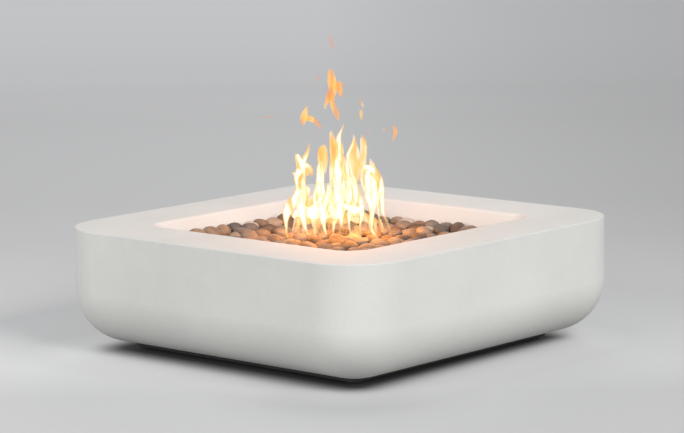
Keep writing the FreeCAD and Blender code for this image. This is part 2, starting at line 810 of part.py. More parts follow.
def spark_electrode():
    """Ceramic rod with a wire tip that leans to the ring."""
    low = electrode_spot().add(Vector(0, 0, probe_lift))
    high = low.add(Vector(0, 0, electrode_length))
    knee = high.add(Vector(0, 0, electrode_knee))
    inward = Vector(-low.x, -low.y, 0).normalize()
    end = knee.add(inward.multiply(electrode_tip_length))
    return rod(electrode_radius, low, high).fuse(
        [rod(electrode_tip_radius, high, knee), Part.makeSphere(electrode_tip_radius, knee),
         rod(electrode_tip_radius, knee, end)])


def thermocouple():
    """Steel probe in a stepped sleeve."""
    low = probe_spot().add(Vector(0, 0, probe_lift))
    sleeve = rod(probe_radius, low, low.add(Vector(0, 0, probe_sleeve)))
    return sleeve.fuse(rod(probe_tip_radius, low, low.add(Vector(0, 0, probe_length))))


def lead_grommet(spot, radius):
    """Rubber ring with a groove for the pan's sheet and a bore for one lead."""
    low = spot.add(Vector(0, 0, -pan_sheet - grommet_lip))
    under = spot.add(Vector(0, 0, -pan_sheet))
    high = spot.add(Vector(0, 0, grommet_lip))
    ring = rod(grommet_radius, low, under).fuse([rod(grommet_radius, spot, high),
                                                 rod(grommet_neck - cast_gap, low, high)])
    return ring.cut(rod(radius + bore_gap, low.add(DOWN), high.add(Z_AXIS)))


# ------------------------------------------------------------ pebbles
def plan_distance(dx, dy):
    """Half width across flats of the smallest upright hexagon round (dx, dy)."""
    return max(abs(dx), abs(dx) / 2 + abs(dy) * math.sqrt(0.75))


def side_profile(share):
    """Height of a pebble's top over its middle, as a share, at a share of its width."""
    if share >= 1:
        return 0.0
    return min(1.0, (1 - share) / (1 - pebble_flat))


def inset(x, y, half, corner):
    """Distance in plan from a place to the inside of a rounded square."""
    dx = abs(x) - (half - corner)
    dy = abs(y) - (half - corner)
    if dx > 0 and dy > 0:
        return corner - math.hypot(dx, dy)
    return corner - max(dx, dy)


def fixed_rest_height(x, y, size):
    """Lowest middle of a pebble on the pan, its flange and the burner. None in a wall."""
    half_thick = size * pebble_flatness
    reach = size / math.sqrt(0.75)
    level = pan_floor + half_thick
    across = math.hypot(x, y)
    top = tube_level + tube_radius
    beam = math.hypot(max(0.0, abs(x) - ring_radius), y)
    hurdles = [(inset(x, y, basin_half - pan_sheet, basin_corner - pan_sheet), flange_top),
               (abs(across - ring_radius) - tube_radius, top),
               (beam - tube_radius, top),
               (across - hub_radius, hub_bottom + hub_height)]
    for place in pan_screw_places():
        gap = math.hypot(x - place.x, y - place.y) - pan_screw_head_radius
        hurdles.append((gap, flange_top + pan_screw_head_height))
    for gap, height in hurdles:
        if gap < reach:
            level = max(level, height + half_thick * side_profile(max(gap, 0) / reach))
    sensor = sensor_frame(0, 0, 0)
    if math.hypot(x - sensor.x, y - sensor.y) < sensor_clear + reach:
        return None
    rise = (level - ledge_top) / ledge_depth * recess_lean
    if inset(x, y, ledge_half + rise, ledge_corner + rise) < reach + pebble_gap:
        return None
    return level + pebble_gap


def rest_height(x, y, size, laid):
    """Lowest middle of a pebble let down at a place on all that lies there."""
    level = fixed_rest_height(x, y, size)
    if level is None:
        return None
    for other_x, other_y, other_level, other_size in laid:
        both = size + other_size
        share = plan_distance(x - other_x, y - other_y) / both
        if share < 1:
            step = both * pebble_flatness * side_profile(share)
            level = max(level, other_level + step)
    return level


def settle(x, y, size, laid):
    """Let a pebble roll from a place to the nearest hollow."""
    near = [p for p in laid if math.hypot(p[0] - x, p[1] - y) < roll_reach]
    level = rest_height(x, y, size, near)
    if level is None:
        return None
    step = roll_step
    while step > roll_end:
        best = None
        for k in range(8):
            turn = math.radians(45 * k)
            trial_x = x + step * math.cos(turn)
            trial_y = y + step * math.sin(turn)
            trial = rest_height(trial_x, trial_y, size, near)
            if trial is not None and trial < level - 0.01:
                level = trial
                best = (trial_x, trial_y)
        if best is None:
            step /= 2
        else:
            x, y = best
    return x, y, level, size


def pebble_places():
    """Pour the pebbles one by one, and keep those that end below the bed's top."""
    dice = random.Random(pebble_seed)
    laid = []
    spread = ledge_half - pebble_smallest
    for attempt in range(pebble_tries):
        size = dice.uniform(pebble_smallest, pebble_largest)
        x = dice.uniform(-spread, spread)
        y = dice.uniform(-spread, spread)
        place = settle(x, y, size, laid)
        if place and place[2] + size * pebble_flatness < bed_top:
            laid.append(place)
    return laid


def pebble(x, y, level, size):
    """A worn stone as two hexagonal frustums, base to base."""
    size = size - pebble_gap / 2
    half_thick = size * pebble_flatness
    reach = size / math.sqrt(0.75)
    rings = []
    for height, share in ((-half_thick, pebble_flat), (0, 1.0), (half_thick, pebble_flat)):
        rings.append([Vector(x + reach * share * math.cos(math.radians(60 * k + 30)),
                             y + reach * share * math.sin(math.radians(60 * k + 30)),
                             level + height) for k in range(6)])
    faces = [Part.Face(Part.makePolygon(rings[0] + rings[0][:1])),
             Part.Face(Part.makePolygon(rings[2] + rings[2][:1]))]
    for low, high in ((rings[0], rings[1]), (rings[1], rings[2])):
        for k in range(6):
            m = (k + 1) % 6
            faces.append(Part.Face(Part.makePolygon([low[k], low[m], high[m], high[k],
                                                     low[k]])))
    solid = Part.Solid(Part.Shell(faces))
    if solid.Volume < 0:
        solid.reverse()
    return solid


# ------------------------------------------------------------ control niche
def control_box():
    """Pressed steel box let into the rear side, flange flush with the concrete."""
    flange = panel_prism(niche_half_width + niche_flange, niche_half_height + niche_flange,
                         niche_corner, 0, niche_sheet)
    tub = panel_prism(niche_half_width, niche_half_height, niche_corner, 0,
                      niche_depth + niche_sheet)
    room = panel_prism(niche_half_width - niche_sheet, niche_half_height - niche_sheet,
                       niche_corner - niche_sheet, -1, niche_depth)
    box = flange.fuse(tub).cut(room)
    holes = [rod(valve_nose_radius + hole_gap, panel_point(knob_x, niche_depth - 1, 0),
                 panel_point(knob_x, niche_depth + niche_sheet + 1, 0)),
             rod(igniter_nose_radius + hole_gap, panel_point(igniter_x, niche_depth - 1, 0),
                 panel_point(igniter_x, niche_depth + niche_sheet + 1, 0))]
    for across, up in box_screw_places():
        holes.append(rod(box_screw_radius + hole_gap, panel_point(across, -1, up),
                         panel_point(across, niche_sheet + 1, up)))
        holes.append(box_screw_cone(across, up, hole_gap))
    return box.cut(Part.makeCompound(holes))


def box_screw_cone(across, up, gap):
    return Part.makeCone(box_screw_head + gap, box_screw_radius + gap, box_screw_sink,
                         panel_point(across, 0, up), Vector(0, -1, 0))


def box_screw(across, up):
    """Countersunk screw, flush with the flange."""
    shank = rod(box_screw_radius, panel_point(across, 0, up),
                panel_point(across, box_screw_length, up))
    return shank.fuse(box_screw_cone(across, up, 0))


# ------------------------------------------------------------ safety valve and knob
# Depths in from the rear side, along the knob's axis.
valve_front = niche_depth + niche_sheet
valve_back = valve_front + valve_length + valve_cap_length
nose_out = valve_front - valve_nose_length
stem_out = nose_out - stem_reach
stem_end = valve_front + stem_depth
knob_foot = niche_depth - knob_travel - knob_rest_gap
knob_face = knob_foot - knob_height


def on_knob_axis(depth):
    return panel_point(knob_x, depth, 0)


def gas_valve():
    """Cast body behind the niche, nose through its floor, two ports below."""
    body = panel_prism(valve_half_width, valve_half_height, valve_edge, valve_front,
                       valve_front + valve_length)
    body.translate(Vector(knob_x, 0, 0))
    pieces = [rod(valve_nose_radius, on_knob_axis(nose_out), on_knob_axis(valve_front)),
              rod(valve_cap_radius, on_knob_axis(valve_front + valve_length),
                  on_knob_axis(valve_back))]
    for side in (-1, 1):
        port = valve_port(side)
        pieces.append(rod(port_boss_radius, port,
                          port.add(Vector(0, 0, port_boss_length + valve_half_height))))
    stem_bore = rod(stem_radius + bore_gap, on_knob_axis(nose_out - 1),
                    on_knob_axis(stem_end + knob_travel + 1))
    plunger_bore = rod(plunger_radius + bore_gap, on_knob_axis(stem_end),
                       on_knob_axis(stem_end + plunger_length + knob_travel + 1))
    return body.fuse(pieces).cut(stem_bore).cut(plunger_bore)


def valve_port(side):
    """Mouth of the inlet (-1) or the outlet (+1) under the valve."""
    return panel_point(knob_x + side * port_spacing / 2, valve_front + port_depth_in,
                       -valve_half_height - port_boss_length)


def valve_nut():
    return nut(valve_nut_hex, valve_nose_radius + bore_gap, on_knob_axis(niche_depth),
               on_knob_axis(niche_depth - valve_nut_height))


def flatted_bar(radius, flat, depth_out, depth_in):
    """Round bar with one flat, on the knob's axis."""
    bar = rod(radius, on_knob_axis(depth_out), on_knob_axis(depth_in))
    trim = Part.makeBox(4 * radius, depth_in - depth_out + 2, 2 * radius,
                        panel_point(knob_x - 2 * radius, depth_in + 1, flat))
    return bar.cut(trim)


def valve_stem():
    """Shaft that turns in the valve, with a flat where the knob grips it."""
    turned = rod(stem_radius, on_knob_axis(nose_out), on_knob_axis(stem_end))
    return turned.fuse(flatted_bar(stem_radius, stem_flat, stem_out, nose_out))


def valve_plunger():
    """Pin behind the stem that opens the safety magnet when the knob is pushed."""
    return rod(plunger_radius, on_knob_axis(stem_end), on_knob_axis(stem_end + plunger_length))


def control_knob():
    """Fluted knob with a skirt, a well over the nut and a flatted bore for the stem."""
    skirt_top = knob_foot - knob_skirt
    skirt = rod(knob_radius, on_knob_axis(knob_foot), on_knob_axis(skirt_top))
    skirt = skirt.makeChamfer(knob_skirt_chamfer,
                              [e for e in skirt.Edges
                               if e.BoundBox.YMin > rear_face - skirt_top - 0.01])
    grip = rod(knob_grip_radius, on_knob_axis(knob_foot), on_knob_axis(knob_face))
    grip = grip.makeChamfer(knob_face_chamfer,
                            [e for e in grip.Edges
                             if e.BoundBox.YMin > rear_face - knob_face - 0.01])
    flutes = []
    flute_reach = knob_grip_radius + knob_flute_radius - knob_flute_depth
    for k in range(knob_flutes):
        turn = math.radians(360 * (k + 0.5) / knob_flutes)
        side = Vector(flute_reach * math.sin(turn), 0, flute_reach * math.cos(turn))
        flutes.append(rod(knob_flute_radius, on_knob_axis(skirt_top).add(side),
                          on_knob_axis(knob_face - 1).add(side)))
    grip = grip.cut(Part.makeCompound(flutes))
    well = rod(valve_nut_hex / math.sqrt(3) + knob_nut_gap, on_knob_axis(knob_foot + 1),
               on_knob_axis(nose_out - knob_travel - knob_rest_gap))
    bore = flatted_bar(stem_radius + bore_gap, stem_flat + bore_gap, stem_out - bore_gap,
                       knob_foot)
    pointer = Part.makeBox(pointer_width, pointer_depth + 1, pointer_end - pointer_start,
                           panel_point(knob_x - pointer_width / 2,
                                       knob_face + pointer_depth, pointer_start))
    return skirt.fuse(grip).cut(well).cut(bore).cut(pointer)


# ------------------------------------------------------------ spark igniter
igniter_nose_out = niche_depth - igniter_nose_length
button_end = igniter_nose_out + button_depth
guide_end = button_end + button_travel + guide_room
battery_out = button_end + spring_length
battery_in = battery_out + battery_length
igniter_back = valve_front + igniter_length


def on_igniter_axis(depth):
    return panel_point(igniter_x, depth, 0)


def igniter_housing():
    """Moulded tube for the battery and the spark coil, nose through the niche's floor."""
    body = rod(igniter_radius, on_igniter_axis(valve_front), on_igniter_axis(igniter_back))
    body = body.makeChamfer(igniter_chamfer,
                            [e for e in body.Edges
                             if e.BoundBox.YMax < rear_face - igniter_back + 0.01])
    nose = rod(igniter_nose_radius, on_igniter_axis(igniter_nose_out),
               on_igniter_axis(valve_front))
    room = rod(battery_radius + battery_gap, on_igniter_axis(guide_end),
               on_igniter_axis(battery_in))
    guide = rod(button_radius + bore_gap, on_igniter_axis(igniter_nose_out - 1),
                on_igniter_axis(guide_end))
    return body.fuse(nose).cut(room).cut(guide)


def igniter_nut():
    return nut(igniter_nut_hex, igniter_nose_radius + bore_gap, on_igniter_axis(niche_depth),
               on_igniter_axis(niche_depth - igniter_nut_height))


def igniter_battery():
    """Round cell that stands on the housing's end contact, with its stud to the spring."""
    shoulder = battery_out + battery_stud
    cell = rod(battery_radius, on_igniter_axis(shoulder), on_igniter_axis(battery_in))
    stud = rod(battery_stud_radius, on_igniter_axis(battery_out), on_igniter_axis(shoulder))
    return cell.fuse(stud)


def igniter_spring():
    """Square-wire contact spring between the battery's stud and the button."""
    length = battery_out - button_end
    half_wire = spring_wire / 2
    steps = spring_turns * spring_sides
    sections = []
    for k in range(steps + 1):
        turn = 2 * math.pi * k / spring_sides
        depth = button_end + half_wire + (length - spring_wire) * k / steps
        corners = []
        for out, along in ((-1, -1), (1, -1), (1, 1), (-1, 1), (-1, -1)):
            reach = spring_radius + out * half_wire
            corners.append(panel_point(igniter_x + reach * math.cos(turn),
                                       depth + along * half_wire, reach * math.sin(turn)))
        sections.append(Part.makePolygon(corners))
    return Part.makeLoft(sections, True, True)


def igniter_button():
    """Sliding button with a bevelled face."""
    face = igniter_nose_out - button_out
    button = rod(button_radius, on_igniter_axis(face), on_igniter_axis(button_end))
    return button.makeChamfer(button_chamfer,
                              [e for e in button.Edges
                               if e.BoundBox.YMin > rear_face - face - 0.01])


# ------------------------------------------------------------ hoses and leads
def hose_nut(mouth, way):
    """Union nut screwed over a hose's end, from the mouth of its fitting."""
    return nut(hose_nut_hex, hose_radius + hose_nut_gap, mouth,
               mouth.add(Vector(way).multiply(hose_nut_height)))


def hose_nuts():
    return [hose_nut(valve_port(-1), DOWN), hose_nut(valve_port(1), DOWN),
            hose_nut(Vector(0, elbow_reach, elbow_level), Y_AXIS),
            hose_nut(Vector(cock_x, cock_outlet_y, cock_level), Y_AXIS)]


def burner_hose():
    """Valve outlet to burner elbow: down behind the recess, then in under the pan."""
    start = valve_port(1)
    end = Vector(0, elbow_reach, elbow_level)
    return bent_rod(hose_radius, [start, Vector(start.x, start.y, end.z),
                                  end.add(Vector(0, hose_straight, 0)), end],
                    burner_hose_bend)


def supply_hose():
    """Gas cock to valve inlet, rising beside the rear wall."""
    start = valve_port(-1)
    end = Vector(cock_x, cock_outlet_y, cock_level)
    return bent_rod(hose_radius, [start, Vector(start.x, start.y, end.z + supply_rise),
                                  end.add(Vector(0, supply_run, 0)), end],
                    supply_hose_bend)


def lead(radius, start, rod_end):
    """From the controls down under the ledge, then up through a grommet to its rod."""
    low = ledge_bottom - lead_drop
    points = [start, start.add(Vector(0, -lead_exit, 0)),
              Vector(start.x * 0.8, hole_half + lead_clear, low),
              Vector(start.x * 0.2 + rod_end.x * 0.8, rod_end.y + lead_turn_in,
                     low - lead_fall),
              Vector(rod_end.x, rod_end.y, low - 2 * lead_fall), rod_end]
    return bent_rod(radius, points, lead_bend)


def ignition_lead():
    return lead(lead_radius, on_igniter_axis(igniter_back),
                electrode_spot().add(Vector(0, 0, probe_lift)))


def thermocouple_lead():
    return lead(capillary_radius, on_knob_axis(valve_back),
                probe_spot().add(Vector(0, 0, probe_lift)))


# ------------------------------------------------------------ gas cock at the inlet
def shutoff_valve():
    """Ball cock lying along Y: tapped inlet to the front, neck through the bracket."""
    body = rod(cock_body_radius, Vector(cock_x, cock_y - cock_half_length + cock_hex_length,
                                        cock_level),
               Vector(cock_x, cock_y + cock_half_length - cock_hex_length, cock_level))
    pieces = []
    for side in (-1, 1):
        outer = Vector(cock_x, cock_y + side * cock_half_length, cock_level)
        inner = Vector(cock_x, cock_y + side * (cock_half_length - cock_hex_length), cock_level)
        pieces.append(hexagon_bar(cock_hex, outer, inner))
    neck = rod(cock_neck_radius, Vector(cock_x, cock_y + cock_half_length, cock_level),
               Vector(cock_x, cock_outlet_y, cock_level))
    boss = rod(lever_stem_radius + lever_stem_wall, Vector(cock_x, cock_y, lever_top + seat_gap),
               Vector(cock_x, cock_y, cock_level))
    body = body.fuse(pieces + [neck, boss])
    inlet = rod(inlet_bore, Vector(cock_x, cock_y - cock_half_length - 1, cock_level),
                Vector(cock_x, cock_y - cock_half_length + inlet_depth, cock_level))
    stem_bore = rod(lever_stem_radius + bore_gap,
                    Vector(cock_x, cock_y, lever_top),
                    Vector(cock_x, cock_y, cock_level - lever_stem_top + 1))
    return body.cut(inlet).cut(stem_bore)


def shutoff_lever():
    """Pressed lever on a stem that turns the ball, at rest along the pipe (open)."""
    under = lever_top - lever_sheet
    strip = Part.makeBox(lever_width, lever_length, lever_sheet,
                         Vector(cock_x - lever_width / 2, cock_y - lever_length, under))
    ends = [e for e in strip.Edges if abs(e.Vertexes[0].Z - e.Vertexes[1].Z) > 1
            and e.Vertexes[0].Y < cock_y - lever_length + 1]
    strip = strip.makeFillet(lever_end_round, ends)
    pad = rod(lever_width / 2, Vector(cock_x, cock_y, under), Vector(cock_x, cock_y, lever_top))
    lip_y = cock_y - lever_length + lever_lip_inset
    lip = Part.makeBox(lever_width, lever_lip_length, lever_lip_height,
                       Vector(cock_x - lever_width / 2, lip_y, under - lever_lip_height))
    lip = lip.cut(Part.makeBox(lever_width - 2 * lever_lip_wall, lever_lip_length + 2,
                               lever_lip_height,
                               Vector(cock_x - lever_width / 2 + lever_lip_wall, lip_y - 1,
                                      under - lever_lip_height)))
    stem = rod(lever_stem_radius, Vector(cock_x, cock_y, under),
               Vector(cock_x, cock_y, cock_level - lever_stem_top))
    tail = rod(lever_tail_radius, Vector(cock_x, cock_y, under - lever_nut_height),
               Vector(cock_x, cock_y, under))
    return strip.fuse([pad, lip, stem, tail])


def shutoff_lever_nut():
    under = lever_top - lever_sheet
    return nut(lever_nut_hex, lever_tail_radius + bore_gap,
               Vector(cock_x, cock_y, under - lever_nut_height), Vector(cock_x, cock_y, under))


def shutoff_bracket():
    """Steel angle on the shell's floor, drilled for the cock's neck."""
    wall_y = cock_y + cock_half_length
    foot = Part.makeBox(cock_bracket_width, bracket_foot_y + cock_bracket_foot - wall_y,
                        cock_sheet, Vector(cock_x - cock_bracket_width / 2, wall_y,
                                           inner_floor))
    wall = Part.makeBox(cock_bracket_width, cock_sheet,
                        cock_level + cock_bracket_top - inner_floor,
                        Vector(cock_x - cock_bracket_width / 2, wall_y, inner_floor))
    upper = [e for e in wall.Edges if abs(e.Vertexes[0].Y - e.Vertexes[1].Y) > 1
             and e.Vertexes[0].Z > cock_level]
    wall = wall.makeFillet(cock_bracket_round, upper)
    bracket = foot.fuse(wall)
    holes = [rod(cock_neck_radius + hole_gap, Vector(cock_x, wall_y - 1, cock_level),
                 Vector(cock_x, wall_y + cock_sheet + 1, cock_level))]
    for place in cock_bolt_places():
        holes.append(rod(bracket_bolt_radius + hole_gap,
                         Vector(place.x, place.y, inner_floor - 1),
                         Vector(place.x, place.y, inner_floor + cock_sheet + 1)))
    return bracket.cut(Part.makeCompound(holes))


def cock_locknut():
    """Thin nut that clamps the cock's neck to the bracket."""
    wall_back = cock_y + cock_half_length + cock_sheet
    return nut(cock_locknut_hex, cock_neck_radius + bore_gap,
               Vector(cock_x, wall_back, cock_level),
               Vector(cock_x, wall_back + cock_locknut_height, cock_level))


def bracket_bolt(place):
    seat = Vector(place.x, place.y, inner_floor + cock_sheet)
    head = rod(bracket_bolt_head_radius, seat,
               seat.add(Vector(0, 0, bracket_bolt_head_height)))
    shank = rod(bracket_bolt_radius, seat.add(Vector(0, 0, -bracket_bolt_length - cock_sheet)),
                seat)
    return head.fuse(shank)


# ------------------------------------------------------------ write every node
os.makedirs("parts", exist_ok=True)

save("bowl_shell", bowl_shell())
save("base_frame", base_frame())
save("frame_inserts", *[cast_insert(p, bolt_radius) for p in frame_bolt_places()])
save("foot_inserts", *[cast_insert(p, foot_stud_radius) for p in foot_places().values()])
save("frame_bolts", *[frame_bolt(p) for p in frame_bolt_places()])
save("foot_locknuts", *[foot_locknut(p) for p in foot_places().values()])
for corner_name, corner_place in foot_places().items():
    save("levelling_foot_" + corner_name, levelling_foot(corner_place))
    save("foot_pad_" + corner_name, foot_pad(corner_place))

save("burner_pan", burner_pan())
save("pan_plugs", *[pan_plug(p) for p in pan_screw_places()])
save("pan_screws", *[pan_screw(p) for p in pan_screw_places()])
save("burner_ring", burner_ring())
save("burner_nipple", burner_nipple())
save("nipple_locknuts", *nipple_locknuts())
save("air_mixer", air_mixer())
save("gas_jet", gas_jet())
save("burner_elbow", burner_elbow())
save("sensor_bracket", sensor_bracket())
save("sensor_screws", *[sensor_screw(p) for p in sensor_screw_places()])
save("spark_electrode", spark_electrode())
save("thermocouple", thermocouple())
save("lead_grommets", lead_grommet(electrode_spot(), lead_radius),
     lead_grommet(probe_spot(), capillary_radius))
save("river_pebbles", *[pebble(*p) for p in pebble_places()])

save("control_box", control_box())
save("box_screws", *[box_screw(*p) for p in box_screw_places()])
save("gas_valve", gas_valve())
save("valve_nut", valve_nut())
save("valve_stem", valve_stem())
save("valve_plunger", valve_plunger())
save("control_knob", control_knob())
save("igniter_housing", igniter_housing())
save("igniter_nut", igniter_nut())
save("igniter_battery", igniter_battery())
save("igniter_spring", igniter_spring())
save("igniter_button", igniter_button())

save("shutoff_valve", shutoff_valve())
save("shutoff_lever", shutoff_lever())
save("shutoff_lever_nut", shutoff_lever_nut())
save("shutoff_bracket", shutoff_bracket())
save("cock_locknut", cock_locknut())
save("bracket_bolts", *[bracket_bolt(p) for p in cock_bolt_places()])

save("hose_nuts", *hose_nuts())
save("burner_hose", burner_hose())
save("supply_hose", supply_hose())
save("ignition_lead", ignition_lead())
save("thermocouple_lead", thermocouple_lead())
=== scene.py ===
import json
import math
import random

import bmesh
import bpy
from mathutils import Matrix, Vector, noise

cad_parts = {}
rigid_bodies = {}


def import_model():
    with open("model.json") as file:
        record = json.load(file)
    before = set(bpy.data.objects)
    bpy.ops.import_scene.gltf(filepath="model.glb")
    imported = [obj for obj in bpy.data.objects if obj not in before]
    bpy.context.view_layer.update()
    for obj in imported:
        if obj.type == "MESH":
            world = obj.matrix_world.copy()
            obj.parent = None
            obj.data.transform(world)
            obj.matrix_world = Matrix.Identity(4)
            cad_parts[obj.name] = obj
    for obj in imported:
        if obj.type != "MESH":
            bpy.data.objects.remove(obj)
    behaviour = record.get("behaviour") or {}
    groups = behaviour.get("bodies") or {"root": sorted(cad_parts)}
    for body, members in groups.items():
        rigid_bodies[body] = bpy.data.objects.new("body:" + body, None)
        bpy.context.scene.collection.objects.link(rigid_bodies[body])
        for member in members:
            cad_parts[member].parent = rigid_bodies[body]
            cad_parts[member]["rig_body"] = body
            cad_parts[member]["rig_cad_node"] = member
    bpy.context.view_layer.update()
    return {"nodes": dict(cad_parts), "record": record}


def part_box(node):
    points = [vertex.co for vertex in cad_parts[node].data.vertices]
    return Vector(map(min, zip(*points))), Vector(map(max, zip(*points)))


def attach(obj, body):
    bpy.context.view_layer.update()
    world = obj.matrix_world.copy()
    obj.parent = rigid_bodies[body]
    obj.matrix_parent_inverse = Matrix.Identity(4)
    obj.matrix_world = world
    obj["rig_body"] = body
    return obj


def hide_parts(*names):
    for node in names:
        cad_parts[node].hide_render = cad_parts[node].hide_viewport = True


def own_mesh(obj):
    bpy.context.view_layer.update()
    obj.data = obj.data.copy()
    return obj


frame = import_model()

nodes = frame["nodes"]

# ------------------------------------------------------------ camera
# A long lens a little above the rim, looking at the upright corner between
# the front and the right side of the bowl.
sensor_width = 0.036
frame_pixels = 684
focal_pixels = 2867.4
focal_length = sensor_width * focal_pixels / frame_pixels
view_turn = math.radians(41.706)
view_rise = math.radians(8.762)
view_roll = math.radians(-0.841)
view_distance = 7.5135
view_aim = Vector((0.0, 0.0, 0.022))
aim_left = -0.0003
aim_up = 0.3081

back = Vector((math.sin(view_turn) * math.cos(view_rise),
               -math.cos(view_turn) * math.cos(view_rise), math.sin(view_rise)))
level_right = Vector((0, 0, 1)).cross(back).normalized()
level_up = back.cross(level_right)
camera_right = math.cos(view_roll) * level_right + math.sin(view_roll) * level_up
camera_up = math.cos(view_roll) * level_up - math.sin(view_roll) * level_right
camera_place = view_aim + back * view_distance + camera_right * aim_left + camera_up * aim_up


def put(thing):
    """Puts a new object into the scene."""
    bpy.context.scene.collection.objects.link(thing)


lens = bpy.data.cameras.new("camera")
lens.sensor_width = sensor_width * 1000
lens.lens = focal_length * 1000
lens.clip_end = 200
camera = bpy.data.objects.new("camera", lens)
camera.matrix_world = Matrix((
    (camera_right.x, camera_up.x, back.x, camera_place.x),
    (camera_right.y, camera_up.y, back.y, camera_place.y),
    (camera_right.z, camera_up.z, back.z, camera_place.z),
    (0, 0, 0, 1)))
put(camera)
bpy.context.scene.camera = camera

# ------------------------------------------------------------ cast shell
# The body is one casting of white glass-fibre concrete, about 24 mm thick,
# with a flat rim, a leaning recess, a ledge for the burner pan and a
# quarter-round belly. It is cast upside down, so its show faces are smooth.
underside = 0.022
rim_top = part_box("bowl_shell")[1].z
half_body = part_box("bowl_shell")[1].x
body_corner = 0.154
belly_radius = 0.140
belly_steps = 16
shell_wall = 0.024
rim_edge_radius = 0.003
lip_radius = 0.011
lip_steps = 8
rim_width = 0.1675
opening_corner = 0.071
recess_depth = 0.0755
recess_lean = 0.028
ledge_width = 0.036
ledge_hole_corner = 0.033
access_half = 0.300
access_corner = 0.060
corner_steps = 20
hollow_facets = 3


def only(piece):
    """Deselects everything and makes one piece the active one."""
    if bpy.context.mode != "OBJECT":
        bpy.ops.object.mode_set(mode="OBJECT")
    bpy.ops.object.select_all(action="DESELECT")
    piece.select_set(True)
    bpy.context.view_layer.objects.active = piece


def edit(piece):
    """Opens a piece in edit mode, with all of it selected."""
    only(piece)
    bpy.ops.object.mode_set(mode="EDIT")
    bpy.ops.mesh.select_all(action="SELECT")


def empty_piece(name):
    """A piece with no faces yet, open in edit mode."""
    piece = bpy.data.objects.new(name, bpy.data.meshes.new(name))
    put(piece)
    edit(piece)
    return piece


def pick(test):
    """Selects, in edit mode, the vertices whose place passes the test."""
    bpy.ops.mesh.select_mode(type="VERT")
    bpy.ops.mesh.select_all(action="DESELECT")
    shape = bmesh.from_edit_mesh(bpy.context.object.data)
    for vertex in shape.verts:
        vertex.select = test(vertex.co)
    shape.select_flush(True)
    bmesh.update_edit_mesh(bpy.context.object.data)


def on_outline(place, half, corner, level):
    """Whether a place lies on the outline of a square with round corners."""
    flat = half - corner
    reach = math.hypot(max(abs(place.x) - flat, 0), max(abs(place.y) - flat, 0))
    return abs(reach - corner) < 1e-5 and abs(place.z - level) < 1e-5


def add_outline(half, corner, level):
    """Adds the outline of a square with round corners to the piece in edit mode."""
    bpy.ops.mesh.primitive_plane_add(size=2 * half, location=(0, 0, level))
    bpy.ops.mesh.bevel(offset=corner, segments=corner_steps, affect="VERTICES")
    bpy.ops.mesh.delete(type="ONLY_FACE")


def draw_out(one, other):
    """Extrudes an outline to its next station, with its round corners kept round."""
    pick(lambda place: on_outline(place, *one))
    bpy.ops.mesh.extrude_edges_move()
    shape = bmesh.from_edit_mesh(bpy.context.object.data)
    for vertex in [v for v in shape.verts if v.select]:
        for axis in (0, 1):
            side = math.copysign(1, vertex.co[axis])
            beyond = (abs(vertex.co[axis]) - one[0] + one[1]) / one[1]
            vertex.co[axis] = side * (other[0] - other[1] + beyond * other[1])
        vertex.co.z = other[2]
    bmesh.update_edit_mesh(bpy.context.object.data)


def skin(stations):
    """A closed wall through its stations and back, each (half, corner, level)."""
    add_outline(*stations[0])
    for one, other in zip(stations, stations[1:] + stations[:1]):
        draw_out(one, other)
    bpy.ops.mesh.select_all(action="SELECT")
    bpy.ops.mesh.remove_doubles(threshold=1e-6)
    bpy.ops.mesh.normals_make_consistent(inside=False)


def quarter_round(half, corner, radius, low, steps):
    """Outlines up a quarter round, from its flat underside to its upright side."""
    for step in range(steps + 1):
        turn = math.radians(90 * step / steps)
        come_in = radius * (1 - math.sin(turn))
        yield (half - come_in, corner - come_in, low + radius * (1 - math.cos(turn)))


mouth_turn = math.atan2(recess_depth, recess_lean)
lip_run = lip_radius * math.tan(mouth_turn / 2)
lip_half = half_body - rim_width
mouth_half = lip_half - lip_run
mouth_corner = opening_corner - lip_run
ledge_top = rim_top - recess_depth
ledge_half = mouth_half - recess_lean
ledge_corner = mouth_corner - recess_lean
hole_half = ledge_half - ledge_width
inner_floor = underside + shell_wall
ceiling = rim_top - shell_wall
ceiling_share = (ceiling - ledge_top) / recess_depth

stations = [(access_half, access_corner, underside)]
stations += quarter_round(half_body, body_corner, belly_radius, underside, belly_steps)
for turn in (0, 30, 60, 90):
    come_in = rim_edge_radius * (1 - math.cos(math.radians(turn)))
    drop = rim_edge_radius * (1 - math.sin(math.radians(turn)))
    stations.append((half_body - come_in, body_corner - come_in, rim_top - drop))
for step in range(lip_steps + 1):
    turn = mouth_turn * step / lip_steps
    come_in = lip_radius * math.sin(turn)
    drop = lip_radius * (1 - math.cos(turn))
    stations.append((lip_half - come_in, opening_corner - come_in, rim_top - drop))
stations += [
    (ledge_half, ledge_corner, ledge_top),
    (hole_half, ledge_hole_corner, ledge_top),
    (hole_half, ledge_hole_corner, ledge_top - shell_wall)]
for lean, level in ((0, ledge_top - shell_wall), (0, ledge_top),
                    (recess_lean * ceiling_share, ceiling)):
    stations.append((ledge_half + shell_wall + lean, ledge_corner + shell_wall + lean, level))
stations.append((half_body - shell_wall, body_corner - shell_wall, ceiling))
stations += reversed(list(quarter_round(half_body - shell_wall, body_corner - shell_wall,
                                        belly_radius - shell_wall, inner_floor,
                                        hollow_facets)))
stations.append((access_half, access_corner, inner_floor))

shell = empty_piece("bowl_shell_cast")
skin(stations)

